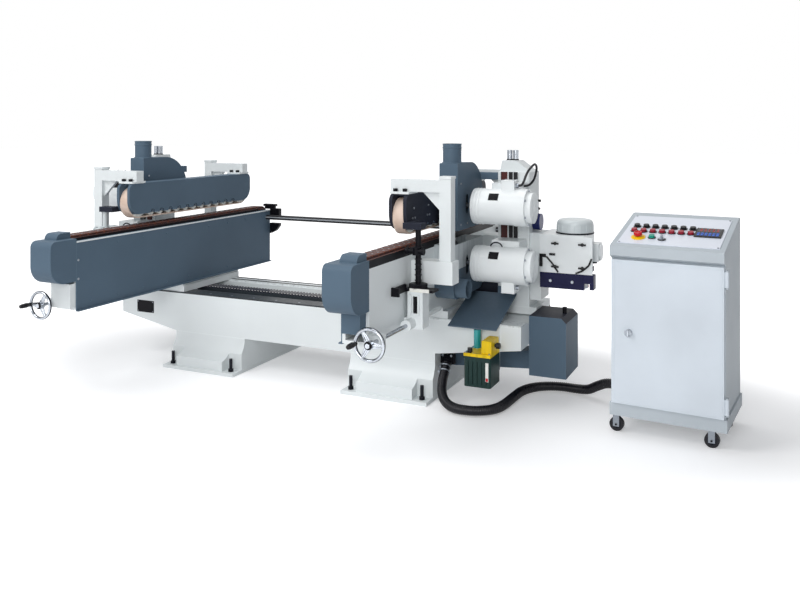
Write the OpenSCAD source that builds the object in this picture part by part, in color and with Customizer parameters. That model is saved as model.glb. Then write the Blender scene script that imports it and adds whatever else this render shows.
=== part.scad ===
// Double-end tenoning machine: a cross bed on two pedestals carries a fixed right-hand unit
// and a sliding left-hand unit, with a control cabinet beside them.
// X runs along the bed, Y is the feed direction and Z is up. The origin is the middle of the
// right pedestal's foot, on the floor. Lengths are in millimetres.

/* [Bed] */
// From the right pedestal's centre to the bed's left end
bed_left = 1937; // [1900:1:2100]
// From the right pedestal's centre to the bed's right end
bed_right = 741; // [730:1:780]
// Width of the bed
bed_w = 596; // [580:1:640]
// Height of the bed's top above the floor
bed_top = 437; // [430:1:460]
// Depth of the bed casting over the pedestals
bed_h = 237; // [220:1:250]
// Depth of the bed casting at its right end
bed_right_h = 118; // [100:1:140]
// Depth of the bed casting at its left end
bed_left_h = 155; // [130:1:180]
// Height of the ways above the bed's top
way_h = 8; // [5:1:12]
// Width of each way
way_w = 110; // [90:1:120]

/* [Pedestals] */
// Between the two pedestals' centres
pedestal_pitch = 1243; // [1200:1:1260]
// Length of a foot along the bed
foot_w = 520; // [500:1:540]
// Length of a foot across the bed
foot_l = 846; // [800:1:880]
// Height of the foot block
foot_h = 75; // [65:1:90]

/* [Conveyors] */
// Height of the feed chains' top above the bed's top
work_rise = 463; // [455:1:480]
// Mirror plane between the two units, left of the origin
mirror_plane = 645; // [640:1:660]
// Inner face of the right conveyor from the origin
conveyor_in = 157; // [150:1:165]
// Width of a conveyor
conveyor_w = 143; // [140:1:150]
// From the origin to the front end of the side panels
conveyor_front = 1176; // [1150:1:1200]
// From the origin to the rear end of the side panels
conveyor_rear = 680; // [660:1:700]
// Width of the feed chain's pads
chain_w = 72; // [64:1:76]
// Outer radius of the feed chain at its drums
chain_r = 77; // [72:1:80]
// Diameter of the feed shaft
feed_shaft_d = 35; // [30:1:40]

/* [Pressure beams] */
// Length of a pressure beam
beam_l = 1215; // [1190:1:1230]
// Front end of a pressure beam from the origin
beam_front = 740; // [730:1:745]
// Height of the side plates of a pressure beam
beam_h = 183; // [178:1:195]
// Gap under the lowered pressure belt
work_gap = 43; // [35:1:55]
// Width of the pressure belt
belt_w = 58; // [50:1:64]
// Upward travel of a pressure beam
lift_travel = 60; // [40:1:60]
// Side of the square gantry posts
post_w = 60; // [54:1:64]

/* [Tenon heads] */
// Diameter of the head motors
motor_d = 192; // [184:1:200]
// Length of the head motors
motor_l = 327; // [310:1:345]
// Height of the upper head's axis above the work height
upper_head = 155; // [150:1:165]
// Depth of the lower head's axis below the work height
lower_head = 156; // [150:1:165]
// Diameter of the tenon cutters
cutter_d = 236; // [200:1:240]
// Outer diameter of the dust spigots
spigot_d = 100; // [90:1:110]

/* [Side head] */
// Width of the side head's housing
side_w = 244; // [240:1:270]
// Diameter of the side head's motor cap
side_motor_d = 200; // [180:1:210]

/* [Control cabinet] */
// Width of the cabinet
cabinet_w = 524; // [500:1:540]
// Depth of the cabinet
cabinet_d = 450; // [430:1:480]
// Height of the cabinet's back
cabinet_h = 1030; // [1020:1:1080]
// Cabinet's left side along the bed
cabinet_left = 1243; // [1240:1:1260]
// Cabinet centre across the bed, towards the front
cabinet_y = 190; // [170:1:210]
// Turn of the cabinet towards the front, in degrees
cabinet_turn = 5; // [0:1:8]
// Diameter of the caster wheels
caster_d = 68; // [62:1:72]

/* [Hose] */
// Outer diameter of the ribbed conduit hose
hose_d = 52; // [48:1:54]
// Number of ribs on the hose
hose_ribs = 150; // [80:1:190]

/* [Hidden] */
$fn = 64;
overrun = 2;
slide_gap = 0.3;
running_gap = 0.06;
fit_gap = 0.2;

// Colours
white_paint = "#dfe6e6";
slate_paint = "#4a5968";
black_steel = "#1d1d22";
bright_steel = "#b9bec4";
navy_paint = "#15163a";
maroon_pad = "#4a201c";
cream_belt = "#e6cdb7";
cabinet_paint = "#c9d4de";

// Bed and pedestals
half_bed = bed_w / 2;
bed_bottom = bed_top - bed_h;
way_top = bed_top + way_h;
work_h = bed_top + work_rise;
half_foot_w = foot_w / 2;
half_foot_l = foot_l / 2;
neck_inset = 2;
lip_h = 20;
lip_inset = 18;
notch = 92;
bolt_inset = 44;
bolt_r = 10;
bolt_top = 96;
bolt_nut_r = 17;
bolt_nut_h = 16;
trough_side = 20;
trough_depth = 95;
trough_end = 40;
trough_right = 60;
trough_rib_w = 22;
trough_rib_h = 42;
trough_ribs = 7;
tray_front = -68;
tray_back = 34;
tray_drop = 1;
bed_root_h = 185;

// Lead screw and feed shaft
lead_r = 14;
lead_y = 110;
lead_drop = 29;
lead_z = bed_top - lead_drop;
lead_over = 24;
shaft_r = feed_shaft_d / 2;
shaft_over = 24;

// Saddle under each unit
saddle_h = 40;
saddle_top = way_top + saddle_h;
saddle_split = 30;
saddle_back = 0;
saddle_inset = 6;
nut_x = 60;
nut_l = 70;
nut_w = 60;
nut_drop = 56;

// Conveyor frame and chain
conveyor_out = conveyor_in + conveyor_w;
panel_t = 6;
panel_rise = 23;
panel_lip = 14;
panel_flange = 26;
panel_drop = 6;
frame_in = conveyor_in + panel_t;
frame_drop = 50;
frame_rise = 20;
frame_top = work_h - frame_drop;
frame_bottom = saddle_top + frame_rise;
frame_wall = 16;
frame_web = 14;
chain_gap = 4;
chain_t = 22;
chain_x = conveyor_out - frame_wall - chain_gap - chain_w;
chain_z = work_h - chain_r;
chain_front_set = 48;
chain_rear_set = 40;
chain_front_y = -conveyor_front - chain_front_set;
chain_rear_y = conveyor_rear - chain_rear_set;
chain_pitch = 60;
chain_notch_w = 7;
chain_notch_h = 8;
slot_gap = 11;
slot_floor = chain_z - chain_r - slot_gap;
guide_h = 88;
guide_strip = 14;
guide_strip_h = 38;
guide_end = 66;
drum_gap = 0.4;

// End cover over the front drum
cover_l = 176;
cover_h = 228;
cover_drop = 12;
cover_wall = 3;
cover_r = 96;
cover_top_r = 34;
cover_bump_l = 96;
cover_bump_h = 33;
bump_in = chain_x - chain_gap;
bump_w = chain_w + 2 * chain_gap;
cover_box_w = 96;
cover_box_l = 58;
cover_box_h = 96;
nose_l = 40;
nose_h = 130;

// Pressure beam, belt and rollers
beam_w = 95;
beam_set = 33;
beam_x = conveyor_in + beam_set;
beam_plate = 17;
beam_lift = 67;
beam_bottom = work_h + beam_lift;
beam_top = beam_bottom + beam_h;
beam_rear = beam_l - beam_front;
beam_low_r = 84;
beam_top_r = 40;
beam_cap = 12;
beam_cap_end = 46;
belt_t = 8;
belt_r = 92;
belt_end = 5;
belt_z = work_h + work_gap + belt_r;
belt_x = beam_x + (beam_w - belt_w) / 2;
roller_r = 28;
roller_gap = 0.4;
roller_count = 11;
roller_pitch = 81;
roller_axle_r = 6;
roller_side = 1;
scallop_r = 22;

// Gantries
gantry_front_y = -665;
gantry_rear_y = 395;
gantry_out = 174;
gantry_x = conveyor_out + gantry_out;
gantry_over = 90;
arm_h = 60;
arm_set = 21;
arm_in = conveyor_in + arm_set;
clamp_t = 12;
clamp_w = 104;
clamp_l = 110;
clamp_bolt_r = 9;
clamp_bolt_h = 14;
web_leg = 96;
web_t = 20;
sleeve_wall = 14;
sleeve_drop = 26;
sleeve_top = frame_top - sleeve_drop;
sleeve_h = 112;
post_hold = 40;
post_depth = lift_travel + post_hold;

// Lift gear
lift_out = 58;
lift_x = conveyor_out + lift_out;
lift_y = -757;
lift_r = 14;
lift_gear_w = 80;
lift_gear_set = 50;
lift_gear_bottom = frame_bottom + lift_gear_set;
lift_gear_h = 129;
lift_set = 96;
lift_bottom = frame_bottom + lift_set;
lift_plate_t = 12;
lift_plate_l = 150;
lift_lug_l = 40;
lift_lug_h = 30;
lift_arm_l = 117;
lift_arm_rise = 18;
lift_collar_r = 24;
lift_collar_h = 26;
lift_ring_r = 40;
lift_ring_h = 24;
lift_slot_w = 24;
lift_slot_h = 84;
bevel_r = 27;
bevel_l = 66;
bevel_y = lift_y - lift_gear_w / 2;

// Handwheels
wheel_out = 38;
wheel_x = conveyor_out + wheel_out;
wheel_y = -1250;
wheel_rise = 26;
wheel_z = frame_bottom + wheel_rise;
wheel_r = 78;
wheel_rim = 8;
wheel_hub_r = 19;
wheel_hub_l = 30;
wheel_spoke_r = 6;
wheel_spokes = 3;
wheel_shaft_r = 10;
wheel_bearing = 46;
handle_r = 10;
handle_l = 72;
handle_set = 10;

// Tenon heads
left_head_lead = 140;
column_off = 220;
column_in = conveyor_out + column_off;
column_w = 180;
column_out = column_in + column_w;
column_d = 200;
column_over = 177;
column_way_w = 94;
column_way_h = 12;
column_way_off = 23;
column_rod_r = 16;
column_rod_h = 118;
column_rod_set = 18;
column_rod_off = 35;
column_cap_h = 62;
column_cap_w = 84;
column_cap_inset = 30;
column_knob_r = 46;
column_knob_l = 42;
column_knob_z = 50;
motor_y = -200;
motor_out = 157;
motor_x = conveyor_out + motor_out;
motor_r = motor_d / 2;
motor_collar = 4;
motor_collar_l = 70;
motor_cap_l = 30;
motor_cap_in = 14;
motor_box_w = 76;
motor_box_l = 70;
motor_box_h = 42;
motor_box_share = 0.8;
motor_box_set = 158;
motor_box_x = motor_x + motor_box_set;
motor_foot_set = 12;
motor_foot_in = column_in + motor_foot_set;
motor_foot_w = 156;
motor_foot_down = 96;
motor_foot_up = 122;
motor_nose_r = 52;
motor_nose_l = 12;
head_travel_out = 40;
head_travel_in = 20;
upper_z = work_h + upper_head;
lower_z = work_h - lower_head;
column_top = upper_z + column_over;
arbor_r = 14;
arbor_depth = 60;
cutter_r = cutter_d / 2;
cutter_set = 20;
cutter_x = conveyor_out + cutter_set;
cutter_body_r = 72;
cutter_body_l = 52;
cutter_saw_t = 4;
cutter_knives = 4;
cutter_knife_t = 14;
cutter_knife_out = 20;

// Hoods and chip chute
hood_set = 5;
hood_x = conveyor_out + hood_set;
hood_w = 104;
hood_wall = 3;
hood_front = -350;
hood_rear = 62;
hood_rise = 30;
hood_over = 235;
hood_bottom = work_h + hood_rise;
hood_top = upper_z + hood_over;
hood_r = 205;
hood_front_r = 6;
hood_arm_h = 40;
hood_arm_t = 36;
hood_arm_rise = 130;
hood_arm_z = upper_z + hood_arm_rise;
spigot_r = spigot_d / 2;
spigot_wall = 3;
spigot_l = 104;
spigot_y = -295;
shaft_slot = 44;
low_hood_front = -410;
low_hood_rear = 60;
low_hood_drop = 330;
low_hood_set = 40;
low_hood_bottom = work_h - low_hood_drop;
low_hood_top = work_h - low_hood_set;
low_hood_r = 60;
low_spigot_y = -345;
low_spigot_drop = 272;
low_spigot_z = work_h - low_spigot_drop;
low_spigot_l = 62;
chute_out = 57;
chute_in = conveyor_out + chute_out;
chute_w = 270;
chute_t = 5;
chute_flange = 44;
chute_gap = 24;
chute_over = 62;

// Side head
side_plate_t = 60;
side_plate_front = 20;
side_plate_d = 170;
side_plate_rise = 40;
side_plate_drop = 4;
side_plate_low = saddle_top + side_plate_rise;
side_plate_high = work_h - side_plate_drop;
side_x = column_out + side_plate_t + slide_gap;
side_front = 0;
side_d = 260;
side_drop = 217;
side_bottom = work_h - side_drop;
side_h = 211;
side_r = 40;
side_axis_set = 165;
side_axis_x = side_x + side_axis_set;
side_axis_y = side_front + side_d / 2;
side_cap_h = 78;
side_cap_r = 26;
side_shelf_h = 81;
side_shelf_t = 14;
side_box_w = 60;
side_box_d = 96;
side_box_h = 98;
side_box_z = 64;
side_tool_r = 74;
side_tool_t = 16;
side_tool_drop = 8;
side_spindle_r = 15;
side_spindle_depth = 70;

// Waste box and its duct
waste_w = 200;
waste_front = -147;
waste_d = 278;
waste_bottom = 153;
waste_h = 319;
waste_chamfer = 26;
waste_wall = 3;
waste_knob_r = 12;
waste_knob_h = 34;
waste_knob_in = 40;
duct_w = 120;
duct_low = 130;
duct_high = 205;
duct_end_low = 165;
duct_end_high = 265;

// Oil pump
pump_x = 482;
pump_w = 145;
pump_d = 150;
pump_back_t = 8;
pump_back_h = 170;
pump_bottom = 150;
pump_tank_h = 145;
pump_lid_h = 26;
pump_head_w = 52;
pump_head_h = 66;
pump_cyl_r = 19;
pump_cyl_h = 96;
pump_knob_r = 13;
pump_knob_h = 22;
pump_r = 14;
pump_ribs = 6;
pump_rib_t = 5;

// Hose, its route and its fittings
hose_r = hose_d / 2;
hose_valley = 3;
hose_bore_share = 0.76;
hose_sides = 8;
hose_route = [[300, -236, 190], [306, -278, 154], [313, -327, 112], [329, -374, 76], [358, -415, 50],
              [398, -446, 35], [445, -463, 29], [495, -466, 29], [544, -455, 29], [588, -429, 29],
              [622, -392, 29], [642, -345, 29], [652, -280, 29], [657, -205, 29], [661, -130, 29],
              [668, -56, 29], [690, 12, 29], [730, 70, 29], [790, 110, 29], [862, 128, 29],
              [936, 122, 30], [1004, 98, 42], [1060, 66, 76], [1114, 34, 106], [1170, 9, 116],
              [1198, 6.5, 116], [1226, 4, 116]];
hose_steps = 6;
hose_bore_step = 5;
gland_r = 30;
gland_l = 24;
bracket_w = 78;
bracket_d = 30;
bracket_y = -216;
bracket_low = 180;
bracket_h = 60;

// Control cabinet, in its own frame with the origin on the floor under its middle
half_cab = cabinet_w / 2;
cabinet_x = cabinet_left + half_cab;
half_cab_d = cabinet_d / 2;
cab_wall = 3;
plinth_low = 90;
plinth_h = 60;
plinth_over = 8;
cab_floor = plinth_low + plinth_h;
desk_drop = 179;
desk_rise = 115;
desk_low = cabinet_h - desk_drop;
desk_lip = 17;
desk_high = cabinet_h - desk_rise;
desk_out = 37;
desk_back = 36;
door_frame = 22;
door_gap = 4;
door_t = 20;
door_skin = 3;
door_set = 0.5;
hinge_r = 7;
hinge_pin_r = 3;
hinge_l = 70;
hinge_in = 25;
hinge_set = 9;
hinge_x = half_cab + hinge_set;
hinge_y = -half_cab_d - hinge_set;
lock_r = 18;
lock_l = 14;
lock_in = 84;
lock_stem_r = 7;
lock_cam_l = 40;
lock_cam_t = 4;
lock_cam_w = 14;
panel_margin = 26;
panel_plate_t = 3;
desk_slope = atan((cabinet_h - desk_high) / (cabinet_d - desk_back + desk_out));
panel_l = 380;
panel_low = 40;
button_r = 14;
button_h = 12;
button_stem_r = 6;
button_pitch = 45;
button_row = 62;
button_first_x = -190;
button_first_y = 258;
button_cols = 7;
bezel_r = 18;
bezel_h = 4;
stop_r = 20;
stop_h = 20;
stop_x = -153;
stop_y = 118;
green_x = -88;
green_y = 120;
select_r = 14;
select_h = 20;
select_x = -38;
select_y = 105;
display_w = 118;
display_h = 105;
display_t = 6;
display_x = 100;
display_y = 170;

// Casters
caster_r = caster_d / 2;
caster_w = 26;
caster_trail = 26;
caster_turn = 90;
caster_in_x = 40;
caster_in_y = 44;
caster_plate_t = 6;
caster_plate_w = 56;
caster_cheek = 4;
caster_cheek_gap = 2;
caster_stem_r = 8;
caster_stem_l = 40;
caster_axle_r = 5;
caster_head = 3;

// Shared helpers
module block(lo, hi) {
    translate(lo) cube(hi - lo);
}

module along_x(x0, w) {
    translate([x0, 0, 0]) rotate([90, 0, 90]) linear_extrude(w) children();
}

module along_y(y0, w) {
    translate([0, y0 + w, 0]) rotate([90, 0, 0]) linear_extrude(w) children();
}

module rod_x(x0, x1, y, z, r) {
    translate([x0, y, z]) rotate([0, 90, 0]) cylinder(h = x1 - x0, r = r);
}

module rod_y(x, y0, y1, z, r) {
    translate([x, y1, z]) rotate([90, 0, 0]) cylinder(h = y1 - y0, r = r);
}

module rod_z(x, y, z0, z1, r) {
    translate([x, y, z0]) cylinder(h = z1 - z0, r = r);
}

// What is cut off a square corner at the origin to round it
module corner_cut(r) {
    difference() {
        translate([-overrun, -overrun]) square(r + overrun);
        translate([r, r]) circle(r);
    }
}

// A rectangle from the origin with its own radius at each corner, 0 for a sharp one
module round_rect(w, h, low_left, low_right, top_right, top_left) {
    difference() {
        square([w, h]);
        corner_cut(low_left);
        translate([w, 0]) mirror([1, 0]) corner_cut(low_right);
        translate([w, h]) rotate(180) corner_cut(top_right);
        translate([0, h]) mirror([0, 1]) corner_cut(top_left);
    }
}

// A bar with round ends between two centres
module stadium(y0, y1, z, r) {
    translate([y0, z - r]) square([y1 - y0, 2 * r]);
    for (y = [y0, y1]) translate([y, z]) circle(r);
}

// Places a right-hand piece on either unit
module at_side(left) {
    if (left) translate([-2 * mirror_plane, 0, 0]) mirror([1, 0, 0]) children();
    else children();
}

// Places a right-hand head piece on the left unit, whose heads stand further forward
module at_left_head() {
    at_side(true) translate([0, -left_head_lead, 0]) children();
}

// Bed and pedestals
module bed() {
    half_neck = half_foot_w - neck_inset;
    trough_half = half_bed - way_w - trough_side;
    trough_left = trough_end - bed_left;
    rib_pitch = (trough_right - trough_left) / (trough_ribs + 1);
    floor_z = bed_top - trough_depth;
    color(white_paint) difference() {
        along_y(-half_bed, bed_w) polygon([
            [-bed_left, bed_top], [bed_right, bed_top],
            [bed_right, bed_top - bed_right_h], [half_neck, bed_top - bed_root_h],
            [half_neck, bed_bottom], [-pedestal_pitch - half_neck, bed_bottom],
            [-bed_left, bed_top - bed_left_h]]);
        difference() {
            block([trough_left, -trough_half, floor_z], [trough_right, trough_half, bed_top + overrun]);
            for (i = [1 : trough_ribs]) translate([trough_left + i * rib_pitch, 0, 0])
                block([0, -trough_half - overrun, floor_z - overrun],
                      [trough_rib_w, trough_half + overrun, floor_z + trough_rib_h]);
        }
        rod_x(trough_left - lead_over - slide_gap, trough_right + lead_over + slide_gap,
              -lead_y, lead_z, lead_r + running_gap);
    }
}

module bolt_places() {
    for (sx = [-1, 1], sy = [-1, 1])
        translate([sx * (half_foot_w - bolt_inset), sy * (half_foot_l - bolt_inset), 0]) children();
}

module pedestal() {
    half_neck = half_foot_w - neck_inset;
    flare_r = bed_bottom - foot_h;
    block_l = half_foot_l - lip_inset;
    color(white_paint) difference() {
        union() {
            block([-half_foot_w, -half_foot_l, 0], [half_foot_w, half_foot_l, lip_h]);
            along_x(-half_neck, 2 * half_neck) difference() {
                translate([-block_l, lip_h]) square([2 * block_l, bed_bottom - lip_h]);
                for (s = [-1, 1]) translate([s * (half_bed + flare_r), bed_bottom]) circle(flare_r);
            }
        }
        for (sx = [0, 1], sy = [0, 1]) mirror([sx, 0, 0]) mirror([0, sy, 0])
            block([half_foot_w - notch, half_foot_l - notch, lip_h],
                  [half_foot_w + overrun, half_foot_l + overrun, bed_bottom + overrun]);
        bolt_places() rod_z(0, 0, -overrun, lip_h + overrun, bolt_r + fit_gap);
    }
}

module left_pedestal() {
    translate([-pedestal_pitch, 0, 0]) pedestal();
}

module right_pedestal() {
    pedestal();
}

module bed_rails() {
    color(black_steel) for (y = [-half_bed, half_bed - way_w])
        block([-bed_left, y, bed_top], [bed_right, y + way_w, way_top]);
    color(black_steel) block([trough_end - bed_left, tray_front, bed_top - trough_depth + trough_rib_h],
                             [trough_right, tray_back, bed_top - tray_drop]);
}

module levelling_bolts() {
    color(bright_steel) for (x = [-pedestal_pitch, 0]) translate([x, 0, 0]) bolt_places() {
        rod_z(0, 0, 0, bolt_top, bolt_r);
        translate([0, 0, lip_h]) cylinder(h = bolt_nut_h, r = bolt_nut_r, $fn = 6);
    }
}

module lead_screw() {
    color(bright_steel) rod_x(trough_end - bed_left - lead_over, trough_right + lead_over,
                              -lead_y, lead_z, lead_r);
}

module feed_shaft() {
    color(black_steel) rod_x(-2 * mirror_plane - conveyor_out - shaft_over, conveyor_out + shaft_over,
                             chain_rear_y, chain_z, shaft_r);
}

// Conveyor frame with its saddle, gantry sleeves and handwheel bearing
sleeve_half = post_w / 2 + sleeve_wall;
sleeve_in = gantry_x - sleeve_half;
gusset_r = sleeve_in - conveyor_out;
wheel_half = wheel_bearing / 2;

module frame_section() {
    difference() {
        translate([frame_in, frame_bottom]) square([conveyor_out - frame_in, frame_top - frame_bottom]);
        translate([chain_x - chain_gap, slot_floor])
            square([chain_w + 2 * chain_gap, frame_top - slot_floor + overrun]);
        translate([frame_in + frame_wall, frame_bottom + frame_web])
            square([conveyor_out - frame_in - 2 * frame_wall, slot_floor - frame_bottom - 2 * frame_web]);
    }
}

// Curved bracket that carries a gantry's sleeve
module sleeve_bracket(y) {
    along_y(y - sleeve_half, 2 * sleeve_half) {
        translate([sleeve_in, sleeve_top - sleeve_h]) square([2 * sleeve_half, sleeve_h]);
        difference() {
            translate([conveyor_out - frame_wall, sleeve_top - sleeve_h - gusset_r])
                square([gusset_r + frame_wall + overrun, sleeve_h + gusset_r]);
            translate([sleeve_in, sleeve_top - sleeve_h - gusset_r]) circle(gusset_r);
            translate([sleeve_in, sleeve_top - sleeve_h - gusset_r])
                square([gusset_r, gusset_r]);
        }
    }
}

module post_bore(y) {
    hole = post_w / 2 + slide_gap;
    block([gantry_x - hole, y - hole, sleeve_top - sleeve_h - gusset_r - overrun],
          [gantry_x + hole, y + hole, sleeve_top + overrun]);
}

module frame_casting(gap, back) {
    saddle_edge = half_bed - saddle_inset;
    difference() {
        union() {
            along_y(-conveyor_front, conveyor_front + conveyor_rear) frame_section();
            block([conveyor_in, -saddle_edge, way_top + gap],
                  [conveyor_out + saddle_split, saddle_edge, saddle_top]);
            block([conveyor_out, -back, way_top + gap], [bed_right, saddle_edge, saddle_top]);
            block([frame_in, -saddle_edge, saddle_top - overrun],
                  [conveyor_out, saddle_edge, frame_bottom + overrun]);
            for (y = [gantry_front_y, gantry_rear_y]) sleeve_bracket(y);
            block([conveyor_out - frame_wall, -conveyor_front, wheel_z - wheel_half],
                  [wheel_x + wheel_half, wheel_bearing - conveyor_front, wheel_z + wheel_half]);
        }
        for (y = [gantry_front_y, gantry_rear_y]) post_bore(y);
        rod_x(conveyor_in - overrun, conveyor_out + overrun, chain_rear_y, chain_z, shaft_r + running_gap);
        rod_y(wheel_x, -conveyor_front - overrun, wheel_bearing - conveyor_front + overrun,
              wheel_z, wheel_shaft_r + running_gap);
    }
}

// Square front end of the left frame, below its cover
module frame_nose() {
    block([frame_in, -conveyor_front - nose_l, frame_bottom + frame_web],
          [conveyor_out, overrun - conveyor_front, frame_bottom + frame_web + nose_h]);
}

// Nut that the lead screw drives, under the sliding saddle
module carriage_nut() {
    difference() {
        block([conveyor_in + nut_x, -lead_y - nut_w / 2, saddle_top - saddle_h - nut_drop],
              [conveyor_in + nut_x + nut_l, -lead_y + nut_w / 2, saddle_top - overrun]);
        rod_x(conveyor_in, conveyor_out, -lead_y, lead_z, lead_r + running_gap);
    }
}

module right_frame() {
    color(white_paint) frame_casting(0, saddle_back);
}

module left_frame() {
    color(white_paint) at_side(true) {
        frame_casting(slide_gap, saddle_back + left_head_lead);
        frame_nose();
        carriage_nut();
    }
    at_side(true) lift_gearbox();
}

module side_panel() {
    color(slate_paint) difference() {
        union() {
            block([conveyor_in, -conveyor_front, frame_bottom - panel_drop],
                  [frame_in, conveyor_rear, frame_top + panel_rise]);
            block([conveyor_in, -conveyor_front, frame_top + panel_rise - panel_t],
                  [conveyor_in + panel_flange, conveyor_rear, frame_top + panel_rise]);
            block([conveyor_in - panel_lip, -conveyor_front, frame_bottom - panel_drop],
                  [frame_in, conveyor_rear, frame_bottom]);
        }
        rod_x(conveyor_in - overrun, frame_in + overrun, chain_rear_y, chain_z, shaft_r + fit_gap);
    }
}

module right_side_panel() {
    side_panel();
}

module left_side_panel() {
    at_side(true) side_panel();
}

// Outlines of the end cover and of the bump over its chain, seen from the side, drawn in by a wall
module cover_outline(wall) {
    w = cover_l - wall;
    h = cover_h - 2 * wall;
    translate([-conveyor_front - w, work_h - cover_drop - cover_h + wall])
        round_rect(w, h, cover_r - wall, 0, 0, cover_top_r - wall);
}

module bump_outline(wall) {
    translate([-conveyor_front - cover_bump_l + wall, work_h - cover_drop - cover_wall - wall])
        round_rect(cover_bump_l - wall, cover_bump_h + cover_wall, 0, 0, 0, cover_top_r - wall);
}

module end_cover(with_box) {
    color(slate_paint) {
        difference() {
            union() {
                along_x(conveyor_in, conveyor_w) cover_outline(0);
                along_x(bump_in - cover_wall, bump_w + 2 * cover_wall) bump_outline(0);
            }
            along_x(conveyor_in + cover_wall, conveyor_w - 2 * cover_wall) cover_outline(cover_wall);
            along_x(bump_in, bump_w) bump_outline(cover_wall);
            block([conveyor_in + cover_wall, -conveyor_front - cover_wall, work_h - cover_h],
                  [conveyor_out - cover_wall, overrun - conveyor_front, work_h - cover_drop - cover_wall]);
            block([bump_in, -conveyor_front - cover_wall, work_h - cover_h],
                  [bump_in + bump_w, overrun - conveyor_front, work_h + cover_bump_h / 2]);
        }
        if (with_box)
            block([conveyor_out - cover_box_w - frame_wall, -conveyor_front - cover_box_l,
                   work_h - cover_drop - cover_h - cover_box_h],
                  [conveyor_out - frame_wall, -conveyor_front, work_h - cover_drop - cover_h]);
    }
}

module right_end_cover() {
    end_cover(true);
}

module left_end_cover() {
    at_side(true) end_cover(false);
}

// Feed chain with its pads, its guide and its two drums
module chain_loop() {
    along_x(chain_x, chain_w) difference() {
        stadium(chain_front_y, chain_rear_y, chain_z, chain_r);
        stadium(chain_front_y, chain_rear_y, chain_z, chain_r - chain_t);
        for (y = [chain_front_y + chain_pitch : chain_pitch : chain_rear_y])
            translate([y, work_h - chain_notch_h]) square([chain_notch_w, chain_notch_h + overrun]);
    }
}

module chain_guide() {
    guide_top = work_h - chain_t - slide_gap;
    slot_in = chain_x - chain_gap;
    slot_out = chain_x + chain_w + chain_gap;
    y0 = chain_front_y + guide_end;
    y1 = chain_rear_y - guide_end;
    difference() {
        union() {
            block([slot_in, y0, guide_top - guide_h], [slot_out, y1, guide_top]);
            block([slot_in - guide_strip, -conveyor_front, frame_top],
                  [slot_out + guide_strip, y1, frame_top + guide_strip_h]);
        }
        block([slot_in, chain_front_y, guide_top], [slot_out, chain_rear_y, work_h]);
        block([slot_in, chain_front_y, frame_top - overrun], [slot_out, y0, work_h]);
    }
}

module chain_drum(y, bore) {
    difference() {
        rod_x(chain_x, chain_x + chain_w, y, chain_z, chain_r - chain_t - drum_gap);
        rod_x(chain_x - overrun, chain_x + chain_w + overrun, y, chain_z, bore);
    }
}

// Stub axle that holds the front drum between the cover's walls
module front_axle() {
    rod_x(conveyor_in + cover_wall, conveyor_out - cover_wall, chain_front_y, chain_z,
          shaft_r - running_gap);
}

module feed_chain() {
    color(maroon_pad) chain_loop();
    color(black_steel) {
        chain_guide();
        chain_drum(chain_front_y, shaft_r);
        chain_drum(chain_rear_y, shaft_r + running_gap);
        front_axle();
    }
}

module right_feed_chain() {
    feed_chain();
}

module left_feed_chain() {
    at_side(true) feed_chain();
}

// Gantries
module gantry(y) {
    half_post = post_w / 2;
    arm_z = beam_top + clamp_t;
    beam_mid = beam_x + beam_w / 2;
    post_in = gantry_x - half_post;
    block([post_in, y - half_post, sleeve_top - post_depth],
          [gantry_x + half_post, y + half_post, beam_top + gantry_over]);
    block([arm_in, y - half_post, arm_z], [post_in + overrun, y + half_post, arm_z + arm_h]);
    block([beam_mid - clamp_w / 2, y - clamp_l / 2, beam_top],
          [beam_mid + clamp_w / 2, y + clamp_l / 2, arm_z]);
    along_y(y - web_t / 2, web_t) polygon([
        [post_in + overrun, arm_z + overrun], [post_in - web_leg, arm_z + overrun],
        [post_in - web_leg, arm_z], [post_in, arm_z - web_leg], [post_in + overrun, arm_z - web_leg]]);
    for (s = [-1, 1])
        rod_z(beam_mid + s * clamp_w / 4, y - (clamp_l / 2 + half_post) / 2, arm_z, arm_z + clamp_bolt_h,
              clamp_bolt_r);
}

module gantries() {
    color(white_paint) for (y = [gantry_front_y, gantry_rear_y]) gantry(y);
}

module right_gantries() {
    gantries();
}

module left_gantries() {
    at_side(true) gantries();
}

// Pressure beam with its belt and rollers
belt_front_y = belt_end + belt_r - beam_front;
belt_rear_y = beam_rear - belt_end - belt_r;
roller_z = belt_z - belt_r + belt_t + roller_gap + roller_r;
roller_mid = beam_l / 2 - beam_front;

function roller_y(i) = roller_mid + (i - (roller_count - 1) / 2) * roller_pitch;

module beam_plate_outline() {
    difference() {
        translate([-beam_front, beam_bottom])
            round_rect(beam_l, beam_h, beam_low_r, beam_low_r, beam_top_r, beam_top_r);
        for (i = [0 : roller_count - 1]) translate([roller_y(i), beam_bottom]) circle(scallop_r);
    }
}

module axle_places() {
    for (i = [0 : roller_count - 1]) translate([0, roller_y(i), roller_z]) children();
    for (y = [belt_front_y, belt_rear_y]) translate([0, y, belt_z]) children();
}

module pressure_beam() {
    color(slate_paint) difference() {
        union() {
            for (x = [beam_x, beam_x + beam_w - beam_plate]) along_x(x, beam_plate) beam_plate_outline();
            block([beam_x, beam_cap_end - beam_front, beam_top - beam_cap],
                  [beam_x + beam_w, beam_rear - beam_cap_end, beam_top]);
        }
        axle_places() rod_x(beam_x + roller_side, beam_x + beam_w - roller_side, 0, 0,
                            roller_axle_r + fit_gap);
    }
}

module pressure_belt() {
    color(cream_belt) along_x(belt_x, belt_w) difference() {
        stadium(belt_front_y, belt_rear_y, belt_z, belt_r);
        stadium(belt_front_y, belt_rear_y, belt_z, belt_r - belt_t);
    }
}

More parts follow.
